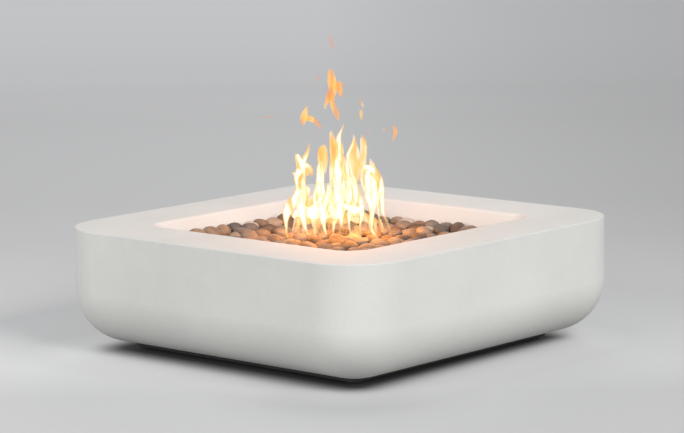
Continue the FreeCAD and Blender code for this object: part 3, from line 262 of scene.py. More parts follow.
# Bosses under the feet and the frame's screws, the niche in the rear side,
# and the holes for the inserts, plugs and screws.
foot_reach = 0.352
bolt_reach = 0.215
boss_radius = 0.019
boss_top = 0.060
insert_top = 0.052
niche_level = 0.240
niche_half_width = 0.079
niche_half_height = 0.041
niche_corner = 0.015
niche_cut = 0.030               # deeper than the wall, so that it opens
rebate_half_width = 0.092
rebate_half_height = 0.054
rebate_depth = 0.0015
foot_insert_radius = 0.00802
frame_insert_radius = 0.00702
plug_radius = 0.00452
plug_depth = 0.018
screw_reach = 0.200
screw_line = hole_half + ledge_width / 2
boss_root = 0.002               # how far a boss is sunk in the floor of the shell
overshoot = 0.01                # how far a cut stands out of the face that it opens


def round_bar(radius, low, high, x, y, sides=32):
    """Adds an upright round bar to the piece in edit mode."""
    bpy.ops.mesh.primitive_cylinder_add(vertices=sides, radius=radius, depth=high - low,
                                        location=(x, y, (low + high) / 2))


def four_ways(along, across):
    """The eight places of a pattern that is the same on all four sides."""
    for one in (-along, along):
        for other in (-across, across):
            yield one, other
            if abs(along - across) > 1e-6:
                yield other, one


def rear_block(half_width, half_height, corner, depth):
    """Adds a rounded block that cuts into the rear side to a depth."""
    middle = half_body + overshoot - depth / 2
    bpy.ops.mesh.select_all(action="DESELECT")
    bpy.ops.mesh.primitive_cube_add(size=1, location=(0, middle, niche_level),
                                    scale=(2 * half_width, depth + 2 * overshoot, 2 * half_height))
    bpy.ops.mesh.select_mode(type="EDGE")
    shape = bmesh.from_edit_mesh(bpy.context.object.data)
    for edge in [e for e in shape.edges if e.select]:
        one, other = edge.verts
        edge.select = abs(one.co.y - other.co.y) > depth
    shape.select_flush(False)
    bmesh.update_edit_mesh(bpy.context.object.data)
    bpy.ops.mesh.bevel(offset=corner, segments=8, affect="EDGES")
    bpy.ops.mesh.select_mode(type="VERT")


def modify(piece, kind, **settings):
    """Adds a modifier to the active piece and applies it."""
    modifier = piece.modifiers.new(kind, kind)
    for key, value in settings.items():
        setattr(modifier, key, value)
    bpy.ops.object.modifier_apply(modifier=modifier.name)


def combine(piece, tool, operation):
    """Adds a tool to a piece or cuts it out, and takes the tool away."""
    only(piece)
    modify(piece, "BOOLEAN", object=tool, operation=operation, solver="EXACT")
    bpy.data.objects.remove(tool)


bosses = empty_piece("bosses")
for x, y in list(four_ways(foot_reach, foot_reach)) + list(four_ways(bolt_reach, foot_reach)):
    round_bar(boss_radius, underside + boss_root, boss_top, x, y)
combine(shell, bosses, "UNION")

cuts = empty_piece("cuts")
for x, y in four_ways(foot_reach, foot_reach):
    round_bar(foot_insert_radius, 0, insert_top, x, y)
for x, y in four_ways(bolt_reach, foot_reach):
    round_bar(frame_insert_radius, 0, insert_top, x, y)
for x, y in four_ways(screw_reach, screw_line):
    round_bar(plug_radius, ledge_top - plug_depth, ledge_top + overshoot, x, y, 16)
combine(shell, cuts, "DIFFERENCE")
for half_width, half_height, corner, depth in (
        (niche_half_width, niche_half_height, niche_corner, niche_cut),
        (rebate_half_width, rebate_half_height, niche_corner, rebate_depth)):
    cut = empty_piece("cut")
    rear_block(half_width, half_height, corner, depth)
    combine(shell, cut, "DIFFERENCE")


def smooth_faces(piece, angle=35):
    """Smooth shading, with the flats kept flat beside the rounds."""
    only(piece)
    bpy.ops.object.shade_smooth_by_angle(angle=math.radians(angle))
    modify(piece, "WEIGHTED_NORMAL", keep_sharp=True)


smooth_faces(shell)


class Finish:
    """A procedural material: its shader, and the nodes that pattern it."""

    def __init__(self, name, color, roughness, metallic=0.0):
        self.material = bpy.data.materials.new(name)
        self.material.use_nodes = True
        self.tree = self.material.node_tree
        self.shader = self.tree.nodes["Principled BSDF"]
        self.shader.inputs["Base Color"].default_value = (*color, 1)
        self.shader.inputs["Roughness"].default_value = roughness
        self.shader.inputs["Metallic"].default_value = metallic
        self.place = self.add("TexCoord").outputs["Object"]

    def add(self, kind, values=(), **settings):
        """Adds a node with its settings and its inputs, each a value or a socket."""
        node = self.tree.nodes.new("ShaderNode" + kind)
        for key, value in settings.items():
            setattr(node, key, value)
        for key, value in dict(values).items():
            if hasattr(value, "is_linked"):
                self.tree.links.new(value, node.inputs[key])
            else:
                node.inputs[key].default_value = value
        return node

    def join(self, output, name):
        self.tree.links.new(output, self.shader.inputs[name])

    def noise(self, scale, detail=2.0, roughness=0.5, stretch=(1, 1, 1), twist=0.0):
        """Soft blotches, a number of them to the metre."""
        spread = self.add("Mapping", {"Vector": self.place, "Scale": stretch})
        return self.add("TexNoise", {
            "Vector": spread.outputs["Vector"], "Scale": scale, "Detail": detail,
            "Roughness": roughness, "Distortion": twist}).outputs["Fac"]

    def ramp(self, value, *stops):
        """Colours or greys along a value: each stop is (place, colour)."""
        ramp = self.add("ValToRGB", {"Fac": value})
        points = ramp.color_ramp.elements
        while len(points) < len(stops):
            points.new(0.5)
        for point, (position, color) in zip(points, stops):
            point.position = position
            point.color = (*color, 1) if isinstance(color, tuple) else (color, color, color, 1)
        return ramp.outputs["Color"]

    def mix(self, share, one, other, blend="MIX"):
        """Two colours mixed by a share, each a socket or a colour."""
        one, other = [(*color, 1) if isinstance(color, tuple) else color for color in (one, other)]
        return self.add("Mix", {"Factor": share, 6: one, 7: other},
                        data_type="RGBA", blend_type=blend).outputs[2]

    def color(self, socket):
        self.join(socket, "Base Color")

    def mottle(self, scale, detail, *stops):
        """Colours it in soft blotches."""
        self.color(self.ramp(self.noise(scale, detail), *stops))

    def roughness(self, value, low, high):
        self.join(self.ramp(value, (0.3, low), (0.7, high)), "Roughness")

    def bump(self, *layers):
        """Small relief, in layers of (height, depth in metres)."""
        below = {}
        for height, depth in layers:
            relief = self.add("Bump", {"Strength": 1.0, "Distance": depth, "Height": height,
                                       **below})
            below = {"Normal": relief.outputs["Normal"]}
        self.join(below["Normal"], "Normal")

    def grain(self, scale, detail, depth):
        """Small relief in one layer of soft blotches."""
        self.bump((self.noise(scale, detail), depth))

    def cover(self, piece):
        piece.data.materials.clear()
        piece.data.materials.append(self.material)


def add_to(piece, body, slot, *replaced):
    """Puts a piece on the body that it rides on and hides the nodes that it stands for; the finish
    slot is not used.
    """
    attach(piece, body)
    if replaced:
        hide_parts(*replaced)


concrete = Finish("cast_concrete", (0.72, 0.705, 0.67), 0.72)
clouds = concrete.noise(3.2, 5, 0.6)
grain = concrete.noise(260, 4, 0.7)
pores = concrete.noise(420, 1, 0.3)
tint = concrete.ramp(clouds, (0.32, (0.685, 0.687, 0.655)), (0.68, (0.742, 0.744, 0.710)))
speckle = concrete.ramp(grain, (0.30, 0.94), (0.62, 1.0))
concrete.color(concrete.mix(1.0, tint, speckle, "MULTIPLY"))
concrete.roughness(grain, 0.62, 0.80)
pinholes = concrete.ramp(pores, (0.26, 0.0), (0.34, 1.0))
concrete.bump((clouds, 0.0012), (grain, 0.00022), (pinholes, 0.00025))
concrete.cover(shell)
add_to(shell, "root", "cast_concrete", "bowl_shell")

# ------------------------------------------------------------ base frame
# Channel folded from 3 mm sheet and powder coated matte black. It stands
# back under the belly, so the body seems to float on a dark gap.
edge_break = 0.0003
edge_angle = math.radians(50)   # edges sharper than this are broken
flat_angle = math.radians(0.6)  # faces that meet flatter than this are joined
weld = 2e-6
round_angle = 30                # degrees between faces that show as one round
record_slots = {part["node"]: part["material_slot"] for part in frame["record"]["subparts"]}


def copy_of(piece, name):
    """A copy of a piece, with a mesh of its own."""
    made = piece.copy()
    made.data = piece.data.copy()
    made.name = name
    made.parent = None
    put(made)
    return made


def dress(finish, *names, edge=edge_break):
    """Copies CAD pieces with their corners merged, edges broken and rounds smooth."""
    for name in names:
        piece = copy_of(nodes[name], name + "_made")
        body = nodes[name]["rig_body"]
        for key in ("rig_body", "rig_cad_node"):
            del piece[key]
        edit(piece)
        bpy.ops.mesh.remove_doubles(threshold=weld)
        bpy.ops.mesh.dissolve_limited(angle_limit=flat_angle)
        only(piece)
        if edge:
            modify(piece, "BEVEL", width=edge, segments=2, limit_method="ANGLE",
                   angle_limit=edge_angle)
        smooth_faces(piece, round_angle)
        finish.cover(piece)
        add_to(piece, body, record_slots[name], name)
    return piece


def paint(piece, finish, test):
    """Gives a second finish to the faces whose middle passes the test."""
    piece.data.materials.append(finish.material)
    for face in piece.data.polygons:
        if test(face.center):
            face.material_index = len(piece.data.materials) - 1


powder_coat = Finish("black_powder_coat", (0.022, 0.022, 0.024), 0.55)
powder_coat.mottle(14, 4, (0.3, (0.018, 0.018, 0.020)), (0.7, (0.028, 0.028, 0.030)))
powder_coat.roughness(powder_coat.noise(40, 3), 0.48, 0.62)
powder_coat.grain(900, 2, 0.00012)
dress(powder_coat, "base_frame")

# ------------------------------------------------------------ inserts, bolts and feet
# Knurled brass inserts are cast into the bosses. Zinc plated screws hold the
# frame to them, and turned steel feet with rubber pads screw in at the corners.
thread_pitch = 0.00125
thread_depth = 0.0005
wave_unit = 20                  # radians of the wave pattern to one unit of its scale
foot_plate_top = 0.014

zinc = Finish("zinc_plate", (0.60, 0.61, 0.62), 0.36, 1.0)
zinc.mottle(70, 3, (0.30, (0.50, 0.52, 0.56)), (0.50, (0.63, 0.63, 0.62)),
            (0.70, (0.62, 0.58, 0.50)))
zinc.roughness(zinc.noise(300, 3), 0.30, 0.48)
zinc.grain(1400, 2, 0.00004)

brass = Finish("turned_brass", (0.62, 0.45, 0.20), 0.30, 1.0)
tarnish = brass.noise(55, 4, 0.6)
brass.color(brass.ramp(tarnish, (0.30, (0.34, 0.22, 0.10)), (0.55, (0.60, 0.43, 0.19)),
                       (0.75, (0.72, 0.54, 0.26))))
brass.roughness(tarnish, 0.24, 0.46)
brass.bump((brass.noise(2200, 1, 0.5, (1, 1, 0.05)), 0.00003))

rubber = Finish("black_rubber", (0.022, 0.022, 0.022), 0.78)
rubber.mottle(45, 4, (0.30, (0.016, 0.016, 0.016)), (0.70, (0.036, 0.035, 0.034)))
rubber.roughness(rubber.noise(180, 2), 0.70, 0.90)
rubber.grain(1100, 3, 0.00012)

steel_thread = Finish("threaded_steel", (0.58, 0.59, 0.60), 0.38, 1.0)
steel_thread.mottle(80, 3, (0.30, (0.48, 0.49, 0.52)), (0.70, (0.64, 0.63, 0.60)))
ridges = steel_thread.add("TexWave", {
    "Vector": steel_thread.place, "Scale": math.tau / thread_pitch / wave_unit},
    wave_type="BANDS", bands_direction="Z")
steel_thread.bump((ridges.outputs["Fac"], thread_depth))

dress(brass, "frame_inserts", "foot_inserts")
dress(zinc, "frame_bolts", "foot_locknuts")
for corner in ("front_left", "front_right", "rear_left", "rear_right"):
    foot = dress(zinc, "levelling_foot_" + corner)
    paint(foot, steel_thread, lambda place: place.z > foot_plate_top)
    dress(rubber, "foot_pad_" + corner, edge=0.0006)

# ------------------------------------------------------------ burner pan
# A drop-in pan folded from brushed stainless sheet. Its flange lies on the
# cast ledge, held by eight screws in plastic plugs.
brushed = Finish("brushed_stainless", (0.58, 0.57, 0.55), 0.34, 1.0)
brush_lines = brushed.noise(16, 3, 0.6, (1, 60, 60))
smudges = brushed.noise(9, 4, 0.6)
brushed.color(brushed.mix(1.0, brushed.ramp(brush_lines, (0.32, 0.80), (0.68, 1.0)),
                          brushed.ramp(smudges, (0.30, (0.54, 0.53, 0.51)),
                                       (0.70, (0.63, 0.62, 0.60))), "MULTIPLY"))
brushed.roughness(smudges, 0.27, 0.42)
brushed.bump((brush_lines, 0.00006))
dark_plastic = Finish("black_plastic", (0.030, 0.030, 0.032), 0.46)
mould_grain = dark_plastic.noise(800, 3, 0.6)
dark_plastic.mottle(30, 3, (0.3, (0.024, 0.024, 0.026)), (0.7, (0.038, 0.038, 0.040)))
dark_plastic.roughness(mould_grain, 0.40, 0.56)
dark_plastic.bump((mould_grain, 0.00008))


def cut_sockets(piece, places, across, depth, turn=(0, 0, 0)):
    """Cuts a hexagon socket into each screw head."""
    sockets = empty_piece("sockets")
    for place in places:
        bpy.ops.mesh.primitive_cylinder_add(vertices=6, radius=across / math.sqrt(3),
                                            depth=2 * depth, location=place, rotation=turn)
    combine(piece, sockets, "DIFFERENCE")
    smooth_faces(piece, round_angle)


pan_socket = (0.003, 0.0018)
dress(brushed, "burner_pan")
pan_screw_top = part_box("pan_screws")[1].z
cut_sockets(dress(brushed, "pan_screws"),
            [(x, y, pan_screw_top) for x, y in four_ways(screw_reach, screw_line)], *pan_socket)
dress(dark_plastic, "pan_plugs")

# ------------------------------------------------------------ ring burner and its pipe
# A stainless tube ring with a cross tube and rows of small ports, tinted straw
# and blue by the heat. A pipe through the pan carries it, with the air mixer,
# the jet and the elbow hanging below.
heated = Finish("heat_tinted_stainless", (0.50, 0.45, 0.38), 0.42, 1.0)
tint = heated.noise(24, 4, 0.6)
heated.color(heated.ramp(tint, (0.28, (0.16, 0.17, 0.24)), (0.42, (0.34, 0.25, 0.26)),
                         (0.54, (0.48, 0.36, 0.22)), (0.70, (0.52, 0.49, 0.45))))
heated.roughness(heated.noise(160, 3), 0.36, 0.60)
heated.grain(900, 3, 0.00008)
dress(heated, "burner_ring")
dress(zinc, "burner_nipple", "nipple_locknuts", "air_mixer")
dress(brass, "gas_jet", "burner_elbow")

# ------------------------------------------------------------ flame sensor
# A stainless bracket beside the ring holds the spark electrode, a white
# ceramic rod with a wire tip, and the thermocouple's probe.
ceramic_top = 0.2641
ceramic = Finish("white_ceramic", (0.78, 0.75, 0.68), 0.26)
soot = ceramic.noise(60, 4, 0.6)
ceramic.color(ceramic.ramp(soot, (0.30, (0.30, 0.25, 0.20)), (0.45, (0.62, 0.57, 0.49)),
                           (0.60, (0.76, 0.73, 0.66))))
ceramic.roughness(soot, 0.24, 0.50)
ceramic.grain(500, 2, 0.00004)
dress(brushed, "sensor_bracket", "sensor_screws")
paint(dress(ceramic, "spark_electrode"), heated, lambda place: place.z > ceramic_top)
dress(heated, "thermocouple")
dress(rubber, "lead_grommets", edge=0.0002)

# ------------------------------------------------------------ control niche
# A pressed stainless box, let into the rear side, keeps the knob and the
# igniter button clear of rain and knocks. The valve stands behind it.
pointer_half_width = 0.0011
pointer_floor = 0.5258
pointer_depth = 0.001
box_screw_across = 0.0845
box_screw_up = 0.0465
box_socket = (0.0025, 0.0014)
alloy = Finish("cast_alloy", (0.52, 0.52, 0.53), 0.50, 1.0)
skin_grain = alloy.noise(420, 4, 0.7)
alloy.mottle(30, 4, (0.30, (0.44, 0.44, 0.45)), (0.70, (0.58, 0.58, 0.58)))
alloy.roughness(skin_grain, 0.44, 0.64)
alloy.bump((skin_grain, 0.00020))
pointer_white = Finish("pointer_paint", (0.80, 0.80, 0.78), 0.50)
pointer_white.mottle(600, 3, (0.3, (0.70, 0.70, 0.68)), (0.6, (0.82, 0.82, 0.80)))
pointer_white.grain(900, 2, 0.00005)
battery_jacket = Finish("battery_jacket", (0.09, 0.09, 0.10), 0.32, 0.6)
battery_jacket.mottle(60, 3, (0.3, (0.07, 0.07, 0.08)), (0.7, (0.12, 0.12, 0.13)))
battery_jacket.roughness(battery_jacket.noise(200, 2), 0.28, 0.44)
red_silicone = Finish("red_silicone", (0.42, 0.035, 0.03), 0.44)
red_silicone.mottle(40, 3, (0.3, (0.34, 0.025, 0.022)), (0.7, (0.50, 0.045, 0.036)))
red_silicone.grain(900, 2, 0.00006)

dress(brushed, "control_box", edge=0.0004)
box_screw_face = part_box("box_screws")[1].y
cut_sockets(dress(brushed, "box_screws"),
            [(x, box_screw_face, niche_level + up) for x in (-box_screw_across, box_screw_across)
             for up in (-box_screw_up, box_screw_up)], *box_socket, (math.radians(90), 0, 0))
dress(alloy, "gas_valve")
dress(zinc, "valve_nut", "valve_plunger")
knob = dress(dark_plastic, "control_knob", edge=0.0004)
knob_middle = (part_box("control_knob")[0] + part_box("control_knob")[1]) / 2
paint(knob, pointer_white,
      lambda place: pointer_floor - pointer_depth < place.y < pointer_floor
      and abs(place.x - knob_middle.x) < pointer_half_width and place.z > knob_middle.z)
dress(zinc, "valve_stem")
dress(dark_plastic, "igniter_housing", "igniter_nut")
dress(dark_plastic, "igniter_button", edge=0.0005)
dress(battery_jacket, "igniter_battery")
# The button presses the contact spring together against the battery.
spring = dress(zinc, "igniter_spring", edge=0)
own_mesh(spring)
dress(brushed, "thermocouple_lead", edge=0)
dress(red_silicone, "ignition_lead", edge=0)

# ------------------------------------------------------------ gas hoses and shut-off cock
# Black rubber hoses with crimped brass nuts lead from the cock, on its zinc
# plated bracket under the rear side, to the valve and on to the burner.
dress(rubber, "burner_hose", "supply_hose", edge=0)
dress(brass, "hose_nuts", "shutoff_valve")
dress(zinc, "shutoff_bracket", "bracket_bolts", "cock_locknut", "shutoff_lever_nut")
dress(red_silicone, "shutoff_lever", edge=0.0006)

# ------------------------------------------------------------ river pebbles
# Tumbled river stones, 35 to 50 mm, brown, grey and taupe with a few pale
# ones. They lie loose over the burner and heap against the recess walls.
stone_seed = 4
stone_kinds = 12
stone_growth = 1.20
stone_roundness = 0.75
stone_lumps = 2.1
stone_unevenness = 0.16
stone_kind_step = 7.3           # how far apart the kinds lie in the noise
stone_long = (1.0, 1.22)
stone_narrow = (0.82, 0.98)
stone_thick = (1.0, 1.35)
stone_tilt = 0.30
plain_tones = 0.95              # the tones above this are for the pale ones
heap_start = 0.17
heap_end = 0.31
heap_rise = 0.015
heap_slope = 0.25               # how much higher the heap lies to the left
heap_swell = 0.35               # stones that stand up on the heap show thicker
pale_places = ((0.085, 0.245), (-0.040, 0.292), (-0.318, -0.020), (-0.205, 0.235),
               (0.262, -0.250), (-0.262, -0.290), (0.305, 0.190))
pale_reach = 0.020
# A few more lie on the burner ring, in front of the flame sensor.
stones_at_sensor = [(Vector((-0.096, 0.110, 0.262)), 0.021, 0.014),
                    (Vector((-0.128, 0.093, 0.260)), 0.020, 0.013),
                    (Vector((-0.070, 0.140, 0.260)), 0.020, 0.013)]


def separate_stones():
    """Middle, half width and half thickness of each stone in the CAD bed."""
    edit(copy_of(nodes["river_pebbles"], "stone_places"))
    bpy.ops.mesh.remove_doubles(threshold=1e-6)
    bpy.ops.mesh.separate(type="LOOSE")
    bpy.ops.object.mode_set(mode="OBJECT")
    places = []
    for part in list(bpy.context.selected_objects):
        low = Vector([min(v.co[k] for v in part.data.vertices) for k in range(3)])
        high = Vector([max(v.co[k] for v in part.data.vertices) for k in range(3)])
        places.append(((low + high) / 2, (high.x - low.x) / 2, (high.z - low.z) / 2))
        bpy.data.objects.remove(part)
    return sorted(places, key=lambda place: tuple(place[0]))


def model_stone(kind):
    """One tumbled stone, about 1 across: a cube rounded off and pressed uneven."""
    bpy.ops.mesh.primitive_cube_add(size=1, location=(0, 0, 0))
    stone = bpy.context.object
    stone.name = "stone_kind_%d" % kind
    modify(stone, "SUBSURF", levels=2, render_levels=2)
    edit(stone)
    bpy.ops.transform.tosphere(value=stone_roundness)
    only(stone)
    for vertex in stone.data.vertices:
        push = noise.noise(vertex.co * stone_lumps + Vector((stone_kind_step * kind, 0, 0)))
        vertex.co *= 1 + stone_unevenness * push
    return stone


def join_up(pieces, name):
    """Joins pieces into one, which is then the active one."""
    only(pieces[0])
    for piece in pieces:
        piece.select_set(True)
    bpy.ops.object.join()
    pieces[0].name = name
    return pieces[0]


random.seed(stone_seed)
kinds = [model_stone(kind) for kind in range(stone_kinds)]
bed = []
for middle, half_width, half_thick in separate_stones() + stones_at_sensor:
    kind = random.choice(kinds)
    stone = copy_of(kind, "stone")
    size = max(c for v in stone.data.vertices for c in v.co)
    long = random.uniform(*stone_long)
    narrow = random.uniform(*stone_narrow)
    thick = random.uniform(*stone_thick)
    lean = Matrix.Rotation(random.uniform(-stone_tilt, stone_tilt), 4, "X")
    lean = lean @ Matrix.Rotation(random.uniform(-stone_tilt, stone_tilt), 4, "Y")
    turn = Matrix.Rotation(random.uniform(0, math.tau), 4, "Z")
    out = (max(abs(middle.x), abs(middle.y)) - heap_start) / (heap_end - heap_start)
    heap = heap_rise * min(max(out, 0), 1)
    heap *= 1 - heap_slope * level_right.dot(middle) / heap_end
    middle.z += heap
    half_thick += heap * heap_swell
    wide = half_width * stone_growth / size
    spread = Matrix.Diagonal((wide * long, wide * narrow, half_thick / size * thick, 1))
    stone.data.transform(Matrix.Translation(middle) @ lean @ turn @ spread)
    tone = stone.data.attributes.new("stone_tone", "FLOAT_COLOR", "POINT")
    pale = any(math.hypot(middle.x - x, middle.y - y) < pale_reach for x, y in pale_places)
    shade = (1.0 if pale else plain_tones * random.random(), random.random(), random.random(), 1)
    for point in tone.data:
        point.color = shade
    bed.append(stone)
for kind in kinds:
    bpy.data.objects.remove(kind)
pebbles = join_up(bed, "river_pebbles_bed")
bpy.ops.object.shade_smooth()

stone = Finish("river_stone", (0.3, 0.25, 0.2), 0.62)
tone = stone.add("VertexColor", layer_name="stone_tone")
parts = stone.add("SeparateColor", {"Color": tone.outputs["Color"]})
kind_color = stone.ramp(parts.outputs["Red"],
                        (0.00, (0.100, 0.064, 0.040)), (0.22, (0.22, 0.135, 0.078)),
                        (0.45, (0.37, 0.240, 0.150)), (0.62, (0.23, 0.180, 0.140)),
                        (0.80, (0.120, 0.102, 0.092)), (plain_tones, (0.44, 0.32, 0.22)),
                        (1.00, (0.56, 0.49, 0.41)))
marbling = stone.ramp(stone.noise(38, 4, 0.6), (0.30, 0.68), (0.70, 1.22))
freckles = stone.ramp(stone.noise(520, 2, 0.6), (0.34, 0.80), (0.56, 1.0))
stone.color(stone.mix(1.0, stone.mix(1.0, kind_color, marbling, "MULTIPLY"), freckles,
                      "MULTIPLY"))
stone.roughness(stone.noise(60, 3), 0.50, 0.74)
stone.bump((stone.noise(90, 3), 0.0010), (stone.noise(700, 2), 0.00016))
stone.cover(pebbles)
add_to(pebbles, "root", "river_stone", "river_pebbles")

# ------------------------------------------------------------ flames
# The burning gas: it rises from the ring through the stones, white hot in the
# middle, yellow round that and orange and clear at its edges and tips. It is
# no piece of the bowl, so it stays with the stage.
flame_root = 0.268
flame_seed = 2
flame_grain = 0.0019
flame_depth_share = 0.62        # a stream's depth over its width
flame_spread = 2.4
gold_margin = 0.0024            # how far the gold stands out round a hot stream
torn_margin = 0.0016
flame_waver = 0.0045
waver_across = 50               # waves to the metre
waver_up = 26
waver_full = 0.05               # the height where the waver has its full strength
flame_step_rate = 0.12
streak_scale = 55
streak_detail = 1.5
streak_twist = 0.6
streak_length_share = 0.28
flat_back = Vector((back.x, back.y, 0)).normalized()


def from_view(across, depth, up):
    """A place above the burner: to the camera's right, away along its view, and up."""
    level = flame_root + up - depth * math.tan(view_rise)
    return level_right * across - flat_back * depth + Vector((0, 0, level))


# Each stream of gas: how far behind the burner's middle it stands, then its
# line of (across, up, half width), in millimetres. The hot streams rise on
# thin legs, run together and part again; the veils are cooler and golden.
hot_streams = (
    (14, (-86, 84, 4), (-66, 92, 12), (-40, 92, 15), (-14, 96, 15), (10, 104, 9)),
    (-4, (-122, 66, 5), (-109, 86, 11), (-98, 68, 12), (-84, 88, 12), (-68, 62, 13), (-53, 92, 13),
     (-39, 66, 14), (-26, 92, 13), (-14, 64, 13), (0, 94, 13), (14, 88, 12)),
    (-10, (10, 96, 5), (30, 84, 12), (48, 82, 11), (60, 96, 5)),
    (-12, (30, 86, 3), (40, 112, 9), (38, 142, 9), (30, 168, 4)),
    (4, (-62, 84, 6), (-58, 108, 13), (-56, 136, 11), (-54, 160, 5)),
    (2, (-34, 84, 8), (-30, 110, 14), (-28, 134, 7), (-28, 150, 2)),
    (2, (-4, 84, 8), (2, 110, 13), (8, 134, 10), (14, 160, 6), (12, 182, 2)),
    (8, (82, 62, 3), (86, 90, 9), (90, 118, 13), (90, 142, 13), (82, 162, 10), (72, 176, 8),
     (68, 188, 3)),
    (6, (-118, 92, 4), (-110, 112, 12), (-104, 132, 11), (-98, 150, 5)),
    (-8, (76, 112, 3), (72, 136, 7), (70, 158, 8), (72, 176, 7), (76, 188, 3)),
    (-14, (-34, 70, 5), (-24, 92, 12), (-20, 120, 9), (-23, 146, 2)),
    (22, (18, 84, 3), (22, 112, 9), (20, 150, 9), (10, 182, 7), (4, 214, 2)),
    (-10, (-137, 8, 0.9), (-140, 33, 2.2), (-143, 57, 4.8), (-137, 83, 10), (-121, 105, 12.6),
     (-104, 128, 13.4), (-98, 150, 10), (-94, 170, 5.6), (-93, 187, 8.7), (-97, 204, 9.1),
     (-105, 220, 6.1), (-108, 231, 2.6)),
    (-20, (-83, 17, 1.5), (-91, 38, 3.9), (-98, 58, 6.5), (-101, 82, 10), (-98, 106, 12.6),
     (-93, 128, 12.1), (-85, 143, 6.5)),
    (-14, (-104, 136, 4.3), (-112, 155, 3.9), (-113, 173, 5.6), (-104, 192, 8.2)),
    (-8, (-94, 191, 7.4), (-90, 213, 5.6), (-87, 228, 3.5), (-81, 245, 2), (-77, 256, 0.9)),
    (-16, (-92, 201, 6.1), (-80, 201, 5.2), (-74, 188, 2.6), (-73, 175, 0.7)),
    (-24, (-81, 139, 5.2), (-82, 117, 3.9), (-86, 98, 1.3)),
    (10, (-67, 10, 1.5), (-67, 31, 2.8), (-69, 51, 6.9), (-67, 75, 14.3), (-56, 101, 13),
     (-52, 127, 11.7), (-51, 153, 11.3), (-51, 179, 10.4), (-50, 201, 8.7), (-49, 214, 4.8)),
    (0, (-99, 64, 5.6), (-82, 67, 9.1), (-62, 72, 11.3)),
    (-25, (-36, 19, 1.5), (-41, 36, 4.3), (-45, 54, 6.9), (-46, 73, 11.7), (-40, 93, 14.7),
     (-31, 110, 12.1), (-28, 127, 6.5), (-28, 145, 2.8), (-26, 154, 0.9)),
    (5, (-20, 17, 1.5), (-18, 33, 2.4), (-16, 51, 4.8), (-13, 70, 12.6), (-9, 92, 16.5),
     (-8, 116, 13.4), (-7, 140, 11.7), (-7, 166, 12.1), (-5, 188, 10.4), (-3, 210, 9.1),
     (-4, 231, 7.8), (-4, 253, 7.4), (-2, 270, 6.5), (4, 286, 3.3), (9, 298, 1.7),
     (14, 310, 0.4)),
    (-5, (7, 26, 1.3), (4, 43, 3), (2, 63, 6.1), (1, 85, 10), (1, 111, 9.5)),
    (20, (-17, 186, 4.3), (-19, 208, 4.8), (-21, 230, 3.9), (-21, 251, 3.9), (-20, 269, 2.2)),
    (30, (33, 7, 1.1), (25, 26, 2.2), (21, 46, 2.8), (22, 66, 6.1), (26, 88, 7.4), (26, 114, 8.2),
     (23, 140, 9.1), (20, 167, 8.2), (18, 193, 5.2), (21, 219, 4.3), (28, 241, 4.8),
     (35, 260, 4.1), (37, 273, 2.2)),
    (12, (53, 14, 0.9), (50, 33, 2), (52, 53, 3.3), (58, 73, 6.9), (57, 94, 6.9), (50, 121, 7.4),
     (41, 145, 6.5), (35, 167, 5.6), (30, 189, 3.7), (25, 208, 2.4)),
    (20, (24, 70, 6.9), (42, 74, 9.5), (57, 74, 7.4)),
    (0, (37, 50, 1.1), (34, 62, 2.6), (31, 75, 5.2)),
    (25, (66, 184, 1.5), (65, 210, 2), (67, 236, 2.2), (67, 258, 2.4), (66, 273, 1.1)),
    (28, (48, 173, 1.3), (44, 197, 1.5), (39, 221, 1.7), (37, 243, 2.6), (38, 263, 2.2)),
    (-5, (98, 5, 0.9), (87, 18, 3), (78, 38, 4.3), (79, 62, 5.6), (83, 81, 6.9), (79, 105, 7.8),
     (70, 130, 8.2), (63, 154, 7.4), (58, 173, 5.6), (61, 188, 5.2), (73, 195, 6.9),
     (84, 186, 8.7)),
    (0, (133, 22, 0.7), (123, 41, 1.3), (116, 60, 2.4), (111, 82, 4.3), (108, 106, 5.6),
     (107, 130, 6.5), (108, 148, 5.2), (105, 165, 5.2), (95, 179, 7.4), (82, 187, 8.2)),
    (-12, (112, 30, 0.7), (105, 45, 1.3), (98, 63, 2.6), (97, 84, 3.5), (98, 106, 4.3),
     (104, 128, 6.1)),
    (10, (85, 86, 6.1), (83, 108, 7.4), (81, 125, 7.8), (90, 134, 5.6)),
)
